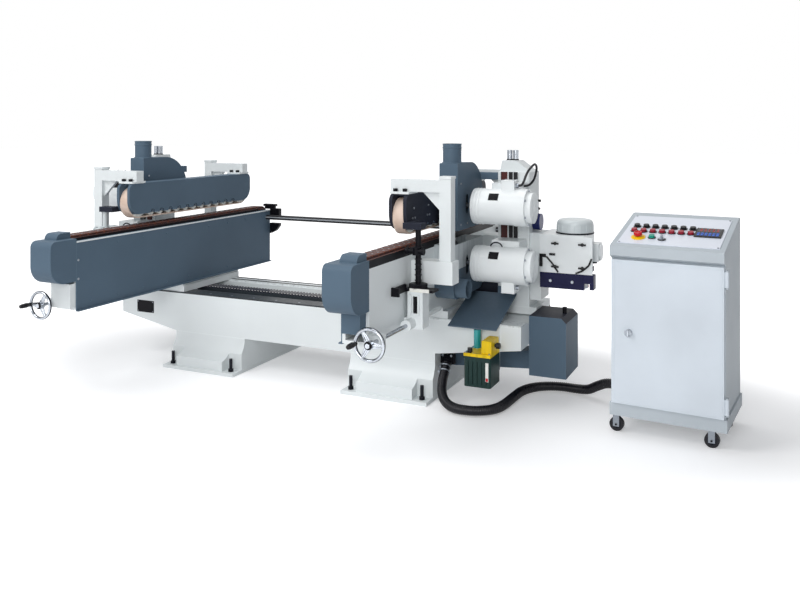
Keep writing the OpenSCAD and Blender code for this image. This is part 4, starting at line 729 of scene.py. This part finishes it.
def gantry_caps(side):
    """Caps on the gantry posts and bolts on their arms."""
    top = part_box(f"{side}_gantries")[1].z
    arm_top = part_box(f"{side}_pressure_beam")[1].z + 12 * MM
    half, bolt_in = 34 * MM, 42.5 * MM
    caps = [span(side, (440 * MM, y - half, top - 12 * MM), (508 * MM, y + half, top + 2 * MM))
            for y in GANTRIES]
    plates(f"{side}_gantry_caps", f"{side}_pressure", WHITE, caps, 3 * MM)
    spots = [(at(side, x), y - bolt_in, arm_top) for y in GANTRIES for x in (211.5 * MM, 263.5 * MM)]
    bolts(f"{side}_arm_bolts", f"{side}_pressure", spots, (0, 0, 15 * MM), 12 * MM, 6, 1 * MM,
          BLACK)


def lift_details(side):
    """Knurled nut, scale edge, slot and rear shaft of the lift gearbox; rings and knobs on its post."""
    body, x, y, low = CARRIER[side], at(side, 358 * MM), -757 * MM, 698 * MM
    front = y - 40 * MM
    teeth, outer, inner = 40, 46 * MM, 42 * MM
    radii = [outer if i % 2 else inner for i in range(2 * teeth)]
    bm = bmesh.new()
    add_plate(bm, [(x + r * math.cos(a), y + r * math.sin(a), low) for r, a in zip(radii, turns(2 * teeth))],
              (0, 0, 1), 20 * MM)
    piece(f"{side}_lift_nut", body, BLACK, bm, 0.5 * MM)
    # The scale plate is silver; it is painted white as a painted highlight for its bright sheen.
    scale = span(side, (330 * MM, front - 4 * MM, 684 * MM), (432 * MM, front, 701 * MM))
    plates(f"{side}_lift_scale", body, IVORY_AND_HIGHLIGHT, [scale], 0.4 * MM)
    bolts(f"{side}_lift_slot_rod", body, [(x, front + 11 * MM, 582 * MM)], (0, 0, 82 * MM), 9.5 * MM, 24,
          material=BLACK)
    bm = bmesh.new()
    for rib in (x - 21 * MM, x + 21 * MM):
        add_box(bm, (rib - 4 * MM, front - 12 * MM, 576 * MM), (rib + 4 * MM, front, 670 * MM))
    shaft, shaft_end = at(side, WHEEL[0]), -0.43
    add_rod(bm, (shaft, y + 40 * MM, WHEEL[2]), (shaft, shaft_end, WHEEL[2]), 13 * MM, 32)
    piece(f"{side}_lift_ribs", body, WHITE, bm, 1.5 * MM)
    bm = bmesh.new()
    for i in range(5):
        add_ring(bm, (x, y, 735 * MM + i * 26 * MM), (0, 0, 1), 15 * MM, 3 * MM, 32, 8)
    knob_y, knob_z = y - 28 * MM, 880 * MM
    for start, end, r in ((-53, -40, 18), (-40, -12, 12), (12, 30, 12), (30, 43, 17)):
        add_rod(bm, (x + start * MM, knob_y, knob_z), (x + end * MM, knob_y, knob_z), r * MM, 24)
    add_rod(bm, (x, knob_y, knob_z - 18 * MM), (x, knob_y, knob_z + 18 * MM), 17 * MM, 24)
    piece(f"{side}_lift_rings", f"{side}_pressure", LIFT_POST[side], bm)


def handwheel_trim(side):
    """Round rim, three webs and hexagon nut of a handwheel, and the grip on its handle."""
    body, x, y, z = f"{side}_handwheel", at(side, WHEEL[0]), WHEEL[1], WHEEL[2]
    way = 1 if side == "right" else -1
    middle = Vector((x, y - 3 * MM, z))
    bm = bmesh.new()
    add_ring(bm, middle, (0, 1, 0), 70 * MM, 7 * MM, 64, 14)
    piece(f"{side}_wheel_rim", body, CHROME, bm, smooth=80)
    bm = bmesh.new()
    for a in turns(3):
        out = Vector((math.cos(a) * way, 0, math.sin(a)))
        wide = Vector((-math.sin(a) * way, 0, math.cos(a)))
        hub, rim = middle + out * 12 * MM, middle + out * 66 * MM
        add_plate(bm, [hub + wide * 16 * MM, rim + wide * 9 * MM, rim - wide * 9 * MM, hub - wide * 16 * MM],
                  (0, 1, 0), 6 * MM)
    add_rod(bm, (x, y - 24 * MM, z), (x, y - 12 * MM, z), 13 * MM, 6)
    piece(f"{side}_wheel_web", body, CHROME, bm, 1.5 * MM)
    handle_x = x - 68 * MM
    bm = bmesh.new()
    for start, end, r0, r1 in ((0.010, 0.032, 9, 13), (0.032, 0.062, 13, 12), (0.062, 0.074, 12, 8)):
        add_rod(bm, (handle_x, y - start, z), (handle_x, y - end, z), r0 * MM, 24, r1 * MM)
    piece(f"{side}_wheel_grip", body, INK, bm, 1 * MM)


# Tenon head pieces
def add_curved_plate(bm, xs, y, z, radius, middle, half_angle, thick):
    """A plate that follows a round body along X, centred on an angle from straight up."""
    steps, (x0, x1) = 8, xs
    rows = []
    for i in range(steps + 1):
        a = middle - half_angle + 2 * half_angle * i / steps
        out = Vector((0, -math.sin(a), math.cos(a)))
        rows.append([bm.verts.new(Vector((x, y, z)) + out * r)
                     for x, r in ((x0, radius), (x1, radius), (x1, radius + thick), (x0, radius + thick))])
    join_rows(bm, rows)


def motor_details(side, level):
    """Plate, cap bolts, fan grille, ridges and terminal box fittings of a tenon motor."""
    body, y, z = f"{side}_{level}_motor", HEAD_Y + head_shift(side), HEAD_Z[level]
    bm = bmesh.new()
    xs = sorted((at(side, 0.556), at(side, 0.610)))
    add_curved_plate(bm, xs, y, z, MOTOR_R, math.radians(52), math.radians(13), 1.5 * MM)
    piece(f"{body}_nameplate", body, BLACK, bm, 0.5 * MM)
    ring, start, end = 90 * MM, at(side, MOTOR_END - 31 * MM), at(side, MOTOR_END - 24 * MM)
    spots = [(start, y + ring * math.cos(a), z + ring * math.sin(a)) for a in turns(6, 0.5)]
    bolts(f"{body}_cap_bolts", body, spots, (end - start, 0, 0), 6 * MM, 6, 0.5 * MM)
    hub = Vector((at(side, MOTOR_END), y, z))
    bm = bmesh.new()
    for r in (30, 44, 58, 72):
        add_ring(bm, hub, (1, 0, 0), r * MM, 2.2 * MM, 48, 8)
    for a in turns(8):
        out = Vector((0, math.cos(a), math.sin(a)))
        add_rod(bm, hub + out * 12 * MM, hub + out * 78 * MM, 2 * MM, 8)
    add_rod(bm, (at(side, MOTOR_END - 2 * MM), y, z), (at(side, MOTOR_END + 3 * MM), y, z), 14 * MM, 24)
    piece(f"{body}_fan_grille", body, MOTOR, bm)
    middles = [(at(side, x), y, z) for x in (0.472, 0.488, 0.504)]
    rings(f"{body}_ridges", body, MOTOR, middles, (1, 0, 0), MOTOR_R, 2.5 * MM, 64)
    up = 1 if level == "upper" else -1
    lid, lid_top, gland = (z + up * (MOTOR_R + h * MM) for h in (41, 49, 20))
    half, screw_half = 40 * MM, 33 * MM
    box_lid = span(side, (0.613, y - half, min(lid, lid_top)), (0.687, y + half, max(lid, lid_top)))
    plates(f"{body}_box_lid", body, MOTOR, [box_lid], 3 * MM)
    bm = bmesh.new()
    for x in (0.620, 0.680):
        for spot in ((at(side, x), y - screw_half), (at(side, x), y + screw_half)):
            add_rod(bm, (*spot, lid), (*spot, lid_top + up * 3 * MM), 4 * MM, 12)
    add_rod(bm, (at(side, 0.683), y, gland), (at(side, 0.700), y, gland), 12 * MM, 6)
    piece(f"{body}_box_fixings", body, STEEL, bm, 0.5 * MM)


def lifting_bow(side):
    """A bent bow on the lower motor's back."""
    x, z, wide, high, steps = 0.575, 0.832, 34 * MM, 30 * MM, 16
    bow = [Vector((at(side, x + wide * math.cos(a)), HEAD_Y + head_shift(side), z + high * math.sin(a)))
           for a in (math.pi * i / steps for i in range(steps + 1))]
    bm = bmesh.new()
    add_tube(bm, bow, [4 * MM] * len(bow), 12, (0, 1, 0))
    piece(f"{side}_lower_motor_bow", f"{side}_lower_motor", DARK, bm)


def motor_lead():
    """The right upper motor's stiff lead, from its gland to its foot."""
    route = smooth_route(LEAD_ROUTE, 6)
    bm = bmesh.new()
    add_tube(bm, route, [LEAD_D / 2] * len(route))
    piece("right_upper_motor_lead", "right_upper_motor", HOSE, bm, smooth=80)


def chute_shade_sheet():
    """Dark sheet behind the chute, between the lower hood and the column: painted shade where the space under
    the lower motor is dark.
    """
    back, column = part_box("right_chip_chute")[1].y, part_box("right_column")[0].x
    sheet = (0.330, back - 8 * MM, 0.505), (column + 1 * MM, back - 5 * MM, 0.630)
    plates("right_chute_shade_sheet", CARRIER["right"], DARK_SHEET_AND_SHADE, [sheet], 0.8 * MM)


def column_details(side):
    """Wipers and end rims on the lift rods, two levers on the column's side."""
    body, y, lever_y = CARRIER[side], head_shift(side) + 0.1, head_shift(side) + 0.08
    cap_top, rod_top, rods = 1.294, 1.350, (0.557, 0.593)
    spots = [(at(side, x), y, cap_top) for x in rods]
    bolts(f"{side}_rod_wipers", body, spots, (0, 0, 7 * MM), 17.8 * MM, 32, 1 * MM, INK)
    middles = [(at(side, x), y, rod_top - 0.5 * MM) for x in rods]
    rings(f"{side}_rod_rims", body, STEEL, middles, (0, 0, 1), 13 * MM, 2 * MM)
    bm = bmesh.new()
    for end, low, high in ((0.744, 1.070, 1.070), (0.738, 1.050, 1.022)):
        add_rod(bm, (at(side, 0.698), lever_y, low), (at(side, end), lever_y, high), 6 * MM, 16, 8 * MM)
    piece(f"{side}_column_levers", body, INK, bm, 1 * MM)


def hood_details(side):
    """Beads round the spigot and hexagon bolts on both sides of the hood."""
    y, top, x = head_shift(side) - 0.295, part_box(f"{side}_dust_hood")[1].z, at(side, 0.357)
    bm = bmesh.new()
    for drop, r, thick in ((2, 50, 2.2), (22, 50.5, 2), (103, 51, 4)):
        add_ring(bm, (x, y, top - drop * MM), (0, 0, 1), r * MM, thick * MM, 64, 8)
    piece(f"{side}_spigot_beads", CARRIER[side], SLATE, bm)
    bm = bmesh.new()
    for dy, z in ((-10, 960), (90, 960), (190, 960), (290, 960), (-10, 1180), (280, 1120)):
        spot = (y + dy * MM, z * MM)
        for face, out in ((305 * MM, 301 * MM), (409 * MM, 413 * MM)):
            add_rod(bm, (at(side, face), *spot), (at(side, out), *spot), 6 * MM, 6)
    piece(f"{side}_hood_bolts", CARRIER[side], STEEL, bm, 0.5 * MM)


def side_head_details():
    """Cover with wing clips and a clipped cable, foot, motor rim and fins, terminal box, cutter tips."""
    body = "right_side_head"
    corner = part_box(body)[0]
    axis, low = (925.3 * MM, 130 * MM), 683 * MM
    face = corner.y - 6 * MM

    def on_head(x, y, z):
        """A place in mm from the cover's lower left corner."""
        return Vector((corner.x + x * MM, face + y * MM, low + z * MM))

    def round_axis(a, r, z):
        return Vector((*axis, z)) + Vector((math.cos(a), math.sin(a), 0)) * r

    cover = on_head(-2, 0, 4), on_head(290, 6, 206)
    plates("side_front_cover", body, MOTOR, [cover], 2 * MM)
    bm = bmesh.new()
    for x in (88, 236):
        for z in (40, 166):
            add_rod(bm, on_head(x, 0, z), on_head(x, -14, z), 9 * MM, 24)
            add_box(bm, on_head(x - 21, -16, z - 5), on_head(x + 21, -9, z + 5))
    piece("side_wing_clips", body, INK, bm, 2 * MM)
    bm = bmesh.new()
    for run in (((10, 93), (40, 90), (72, 55), (104, 9)), ((286, 93), (270, 55), (236, 25), (200, 9))):
        for (x0, z0), (x1, z1) in zip(run, run[1:]):
            add_rod(bm, on_head(x0, -4, z0), on_head(x1, -4, z1), 5 * MM, 16)
    for x0, z0, x1, z1 in ((0, 36, 17, 101), (0, 93, 36, 105), (55, 99, 88, 111)):
        add_box(bm, on_head(x0, -9, z0), on_head(x1, 0, z1))
    piece("side_cables", body, INK, bm, 1.5 * MM)
    foot = [(on_head(x, 0, z0), on_head(296, 60, z1)) for x, z0, z1 in ((240, -44, 3), (274, -76, -40))]
    plates("side_bracket_foot", body, NAVY, foot, 2 * MM)
    cap_top = low + 211 * MM
    rings("side_motor_rim", body, DARK, [(*axis, cap_top + 3 * MM)], (0, 0, 1), 101 * MM,
          5 * MM, 64, 10)
    spots = [round_axis(a, 100 * MM, cap_top + 14 * MM) for a in turns(18)]
    bolts("side_motor_fins", body, spots, (0, 0, 34 * MM), 2.6 * MM, 8, 0, GREY)
    mid = Vector((corner.x + 304 * MM, axis[1], low + 113 * MM))
    rim = [mid + Vector((0, math.cos(a), math.sin(a))) * 46 * MM for a in turns(8, 0.5)]
    bm = bmesh.new()
    add_plate(bm, rim, (1, 0, 0), 9 * MM)
    piece("side_box_lid", body, MOTOR, bm, 2 * MM)
    gland = mid + Vector((-30 * MM, 0, -49 * MM))
    bolts("side_box_gland", body, [gland], (0, 0, -15 * MM), 14 * MM, 6, 1 * MM, INK)
    tool_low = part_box("right_side_cutter")[0].z
    half, high = Vector((9 * MM, 9 * MM, 0)), Vector((0, 0, 12 * MM))
    tips = [round_axis(a, 66 * MM, tool_low + 2 * MM) for a in turns(6)]
    plates("side_cutter_tips", "right_side_cutter", RED,
           [(tip - half, tip + half + high) for tip in tips], 1 * MM)
    spots = [on_head(x, 6, -40) for x in (60, 180)]
    bolts("side_bracket_bolts", body, spots, (0, -8 * MM, 0), 9 * MM, 6, 0.6 * MM)


# Pump pieces
def pump_details():
    """Sight strip with its mark, knob and lid screws of the oil pump."""
    lo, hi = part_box("oil_pump")
    front, lid = lo.y, lo.z + 145 * MM
    strip = (hi.x - 26 * MM, front - 3 * MM, lo.z + 34 * MM), (hi.x - 10 * MM, front, lid - 14 * MM)
    mark = (hi.x - 24 * MM, front - 4 * MM, lo.z + 36 * MM), (hi.x - 12 * MM, front - 2 * MM, lo.z + 54 * MM)
    plates("pump_sight_strip", "base", IVORY_AND_HIGHLIGHT, [strip], 1 * MM)
    plates("pump_level_mark", "base", RED, [mark], 0.5 * MM)
    bm = bmesh.new()
    spot = (front + 75 * MM, lid + 60 * MM)
    for start, end, r, r_end, sides in ((-2, 8, 9, 9, 24), (8, 28, 17, 15, 12)):
        add_rod(bm, (hi.x + start * MM, *spot), (hi.x + end * MM, *spot), r * MM, sides, r_end * MM)
    piece("pump_knob", "base", INK, bm, 2 * MM)
    spots = [(x, y, lid + 24 * MM) for x in (lo.x + 9 * MM, hi.x - 9 * MM)
             for y in (front + 9 * MM, front + 138 * MM)]
    bolts("pump_lid_screws", "base", spots, (0, 0, 7 * MM), 5 * MM, 6, 0.5 * MM)


# Cabinet pieces
DOOR_FRONT = -245.5 * MM
DOOR_EDGES = (((-250, 162), (250, 168)), ((-250, 833), (250, 839)), ((-250, 168), (-244, 833)),
              ((244, 168), (250, 833)))
LOCK = (-174 * MM, DOOR_FRONT - 14 * MM, 500.5 * MM)


def cabinet_details():
    """Pressed edges of the door, and the lock's rim and grip."""
    edges = [((x0 * MM, DOOR_FRONT - 1.2 * MM, z0 * MM), (x1 * MM, DOOR_FRONT, z1 * MM))
             for (x0, z0), (x1, z1) in DOOR_EDGES]
    plates("door_pressing", "cabinet_door", DOOR, edges, 1 * MM, on_cabinet)
    bm = bmesh.new()
    x, y, z = LOCK
    add_ring(bm, on_cabinet(*LOCK), on_cabinet(0, 1, 0) - on_cabinet(0, 0, 0), 16 * MM, 2.5 * MM, 40, 8)
    for v in add_box(bm, (x - 3 * MM, y - 7 * MM, z - 14 * MM), (x + 3 * MM, y + 1 * MM, z + 14 * MM)):
        v.co = on_cabinet(*v.co)
    piece("lock_trim", "door_lock", CHROME, bm, 1 * MM)


BUTTON_FIRST = (-0.190, 0.258)
BUTTON_PITCH = 45 * MM
BUTTON_ROW = 62 * MM
STOP = (-0.153, 0.118)
GREEN_BUTTON = (-0.088, 0.120)
SELECTOR = (-0.038, 0.105)
DISPLAY = (0.100, 0.170, 0.218, 0.275)
DIGIT_BARS = (((0, 0), (9, 1.6)), ((0, 6), (9, 7.6)), ((0, 12), (9, 13.6)), ((7.6, 0), (9, 13)),
              ((0, 6), (1.4, 13)))


def panel_details():
    """Bezels, stop plate and crown, display with digits and keys, and corner screws on the panel."""
    up = on_desk(0, 0, 1) - on_desk(0, 0, 0)
    face = 3 * MM
    spots = [(BUTTON_FIRST[0] + c * BUTTON_PITCH, BUTTON_FIRST[1] - r * BUTTON_ROW)
             for r in range(2) for c in range(7)]
    middles = [on_desk(*spot, face + 3.5 * MM) for spot in (*spots, GREEN_BUTTON, SELECTOR)]
    rings("button_bezels", "base", INK, middles, up, 17.2 * MM, 2.2 * MM)
    bm = bmesh.new()
    for low, high, r in ((0, 4.5, 34), (4, 7.5, 27)):
        add_rod(bm, on_desk(*STOP, face + low * MM), on_desk(*STOP, face + high * MM), r * MM, 40)
    piece("stop_plate", "base", AMBER, bm, 0.8 * MM)
    x0, y0, x1, y1 = DISPLAY
    outer = (x0 - 3 * MM, y0 - 3 * MM, face), (x1 + 3 * MM, y1 + 3 * MM, face + 7 * MM)
    plates("display_frame", "base", INK, [outer], 2 * MM, on_desk)
    glass = (x0 + 6 * MM, y1 - 52 * MM, face + 6 * MM), (x1 - 6 * MM, y1 - 6 * MM, face + 7.6 * MM)
    plates("display_glass", "base", SCREEN, [glass], 0.5 * MM, on_desk)
    spots = [(x0 + (16 + 19 * col) * MM, y1 - (44 - 19 * row) * MM) for row in range(2) for col in range(5)]
    bars = [((x + a * MM, y + b * MM, face + 7.4 * MM), (x + c * MM, y + d * MM, face + 8 * MM))
            for x, y in spots for (a, b), (c, d) in DIGIT_BARS]
    plates("display_digits", "base", GLOW, bars, place=on_desk)
    spots = [(x0 + (9 + 17.5 * col) * MM, y0 + (8 + 20 * row) * MM) for row in range(2) for col in range(6)]
    keys = [((x, y, face + 6 * MM), (x + 13 * MM, y + 14 * MM, face + 9 * MM)) for x, y in spots]
    plates("display_keys", "base", KEYS, keys, 1 * MM, on_desk)
    corners = [on_desk(x, y, face) for x in (-0.228, 0.228) for y in (0.048, 0.412)]
    bolts("panel_screws", "base", corners, up * 2.5 * MM, 5 * MM, 16, 0.5 * MM)
    rings("stop_crown", "emergency_stop", RED, [on_desk(*STOP, face + 24 * MM)], up, 15 * MM,
          6 * MM, 40, 10)


def caster_details():
    """Hub discs on both sides of the front casters' wheels."""
    along = Matrix.Rotation(CABINET_TURN, 3, "Z") @ Vector((0, 1, 0))
    for body in ("left_caster_wheel", "right_caster_wheel"):
        lo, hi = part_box(body)
        bm = bmesh.new()
        for out in (-along, along):
            spot = (lo + hi) / 2 + out * 13 * MM
            add_rod(bm, spot, spot + out * 2 * MM, 22 * MM, 40, 19 * MM)
        piece(f"{body}_hubs", body, DARK, bm, 0.8 * MM)


# Floor, light and background
SHADE_MIDDLE = (-0.1, -0.10)    # middle of the floor that keeps shadows
SHADE_REACH = (2.4, 1.15)       # half sizes of that floor
FLOOR_GLOW = 0.26


def seen_rays(tree):
    """1 for rays that show the background: from the camera, off metal or through glass."""
    path = tree.nodes.new("ShaderNodeLightPath")
    most = path.outputs["Is Camera Ray"]
    for ray in ("Is Glossy Ray", "Is Transmission Ray"):
        join = tree.nodes.new("ShaderNodeMath")
        join.operation = "MAXIMUM"
        tree.links.new(most, join.inputs[0])
        tree.links.new(path.outputs[ray], join.inputs[1])
        most = join.outputs[0]
    return most


def make_floor():
    """A pale floor that keeps the shadows near the machine and is white further out."""
    size = 40
    mesh = bpy.data.meshes.new("floor")
    corners = [(-size, -size, 0), (size, -size, 0), (size, size, 0), (-size, size, 0)]
    mesh.from_pydata(corners, [], [(0, 1, 2, 3)])
    floor = bpy.data.objects.new("floor", mesh)
    bpy.context.scene.collection.objects.link(floor)
    s = Shader("floor_white", 0.9)
    s.set("Base Color", (0.86, 0.86, 0.87, 1))
    s.set("Specular IOR Level", 0.1)
    place = s.node("ShaderNodeMapping", Scale=[1 / r for r in SHADE_REACH] + [1],
                   Location=[-m / r for m, r in zip(SHADE_MIDDLE, SHADE_REACH)] + [0])
    s.link(s.coords, place.inputs["Vector"])
    far = s.node("ShaderNodeVectorMath", operation="LENGTH")
    s.link(place.outputs["Vector"], far.inputs[0])
    glow = s.node("ShaderNodeMapRange", interpolation_type="SMOOTHSTEP",
                  **{"From Min": 0.85, "From Max": 1.5, "To Min": FLOOR_GLOW, "To Max": 1.0})
    s.link(far.outputs["Value"], glow.inputs["Value"])
    seen = s.node("ShaderNodeMath", operation="MULTIPLY")
    s.link(glow.outputs["Result"], seen.inputs[0])
    s.link(seen_rays(s.tree), seen.inputs[1])
    light = s.node("ShaderNodeEmission")
    s.link(seen.outputs[0], light.inputs["Strength"])
    both = s.node("ShaderNodeAddShader")
    s.link(s.bsdf.outputs[0], both.inputs[0])
    s.link(light.outputs[0], both.inputs[1])
    s.link(both.outputs[0], s.tree.nodes["Material Output"].inputs["Surface"])
    mesh.materials.append(s.mat)


def make_world():
    """Soft sky light on the machine, plain white where the camera sees the sky."""
    world = bpy.data.worlds.new("studio")
    bpy.context.scene.world = world
    world.use_nodes = True
    tree = world.node_tree
    sky = tree.nodes["Background"]
    sky.inputs["Color"].default_value = (0.93, 0.96, 1.0, 1)
    sky.inputs["Strength"].default_value = 0.27
    white = tree.nodes.new("ShaderNodeBackground")
    white.inputs["Color"].default_value = (1, 1, 1, 1)
    pick = tree.nodes.new("ShaderNodeMixShader")
    tree.links.new(seen_rays(tree), pick.inputs[0])
    tree.links.new(sky.outputs[0], pick.inputs[1])
    tree.links.new(white.outputs[0], pick.inputs[2])
    tree.links.new(pick.outputs[0], tree.nodes["World Output"].inputs["Surface"])


def make_lamp(name, place, target, size, power):
    data = bpy.data.lights.new(name, "AREA")
    data.shape = "DISK"
    data.size = size
    data.energy = power
    lamp = bpy.data.objects.new(name, data)
    lamp.location = place
    lamp.rotation_euler = (Vector(target) - Vector(place)).to_track_quat("-Z", "Y").to_euler()
    bpy.context.scene.collection.objects.link(lamp)


def make_light():
    make_floor()
    make_world()
    make_lamp("key", (-2.8, -3.8, 4.8), (-0.3, 0, 0.6), 3.2, 150)
    make_lamp("front", (1.5, -6.5, 2.6), (0.0, 0, 0.6), 3.0, 165)
    make_lamp("top", (-0.2, 0.6, 5.6), (0.0, 0, 0.4), 4.5, 95)
    bpy.context.scene.view_settings.view_transform = "Standard"


plain_nodes()
mixed_nodes()
lead_screw_thread()
hose_clamps(conduit_hose())
bed_details()
for side in SIDES:
    side_panel_trim(side)
    rear_bearing(side)
    chain_pads(side)
    beam_bolts(side)
    gantry_caps(side)
    lift_details(side)
    handwheel_trim(side)
    column_details(side)
    hood_details(side)
    for level in ("upper", "lower"):
        motor_details(side, level)
    lifting_bow(side)
motor_lead()
chute_shade_sheet()
side_head_details()
pump_details()
cabinet_details()
panel_details()
caster_details()
make_light()
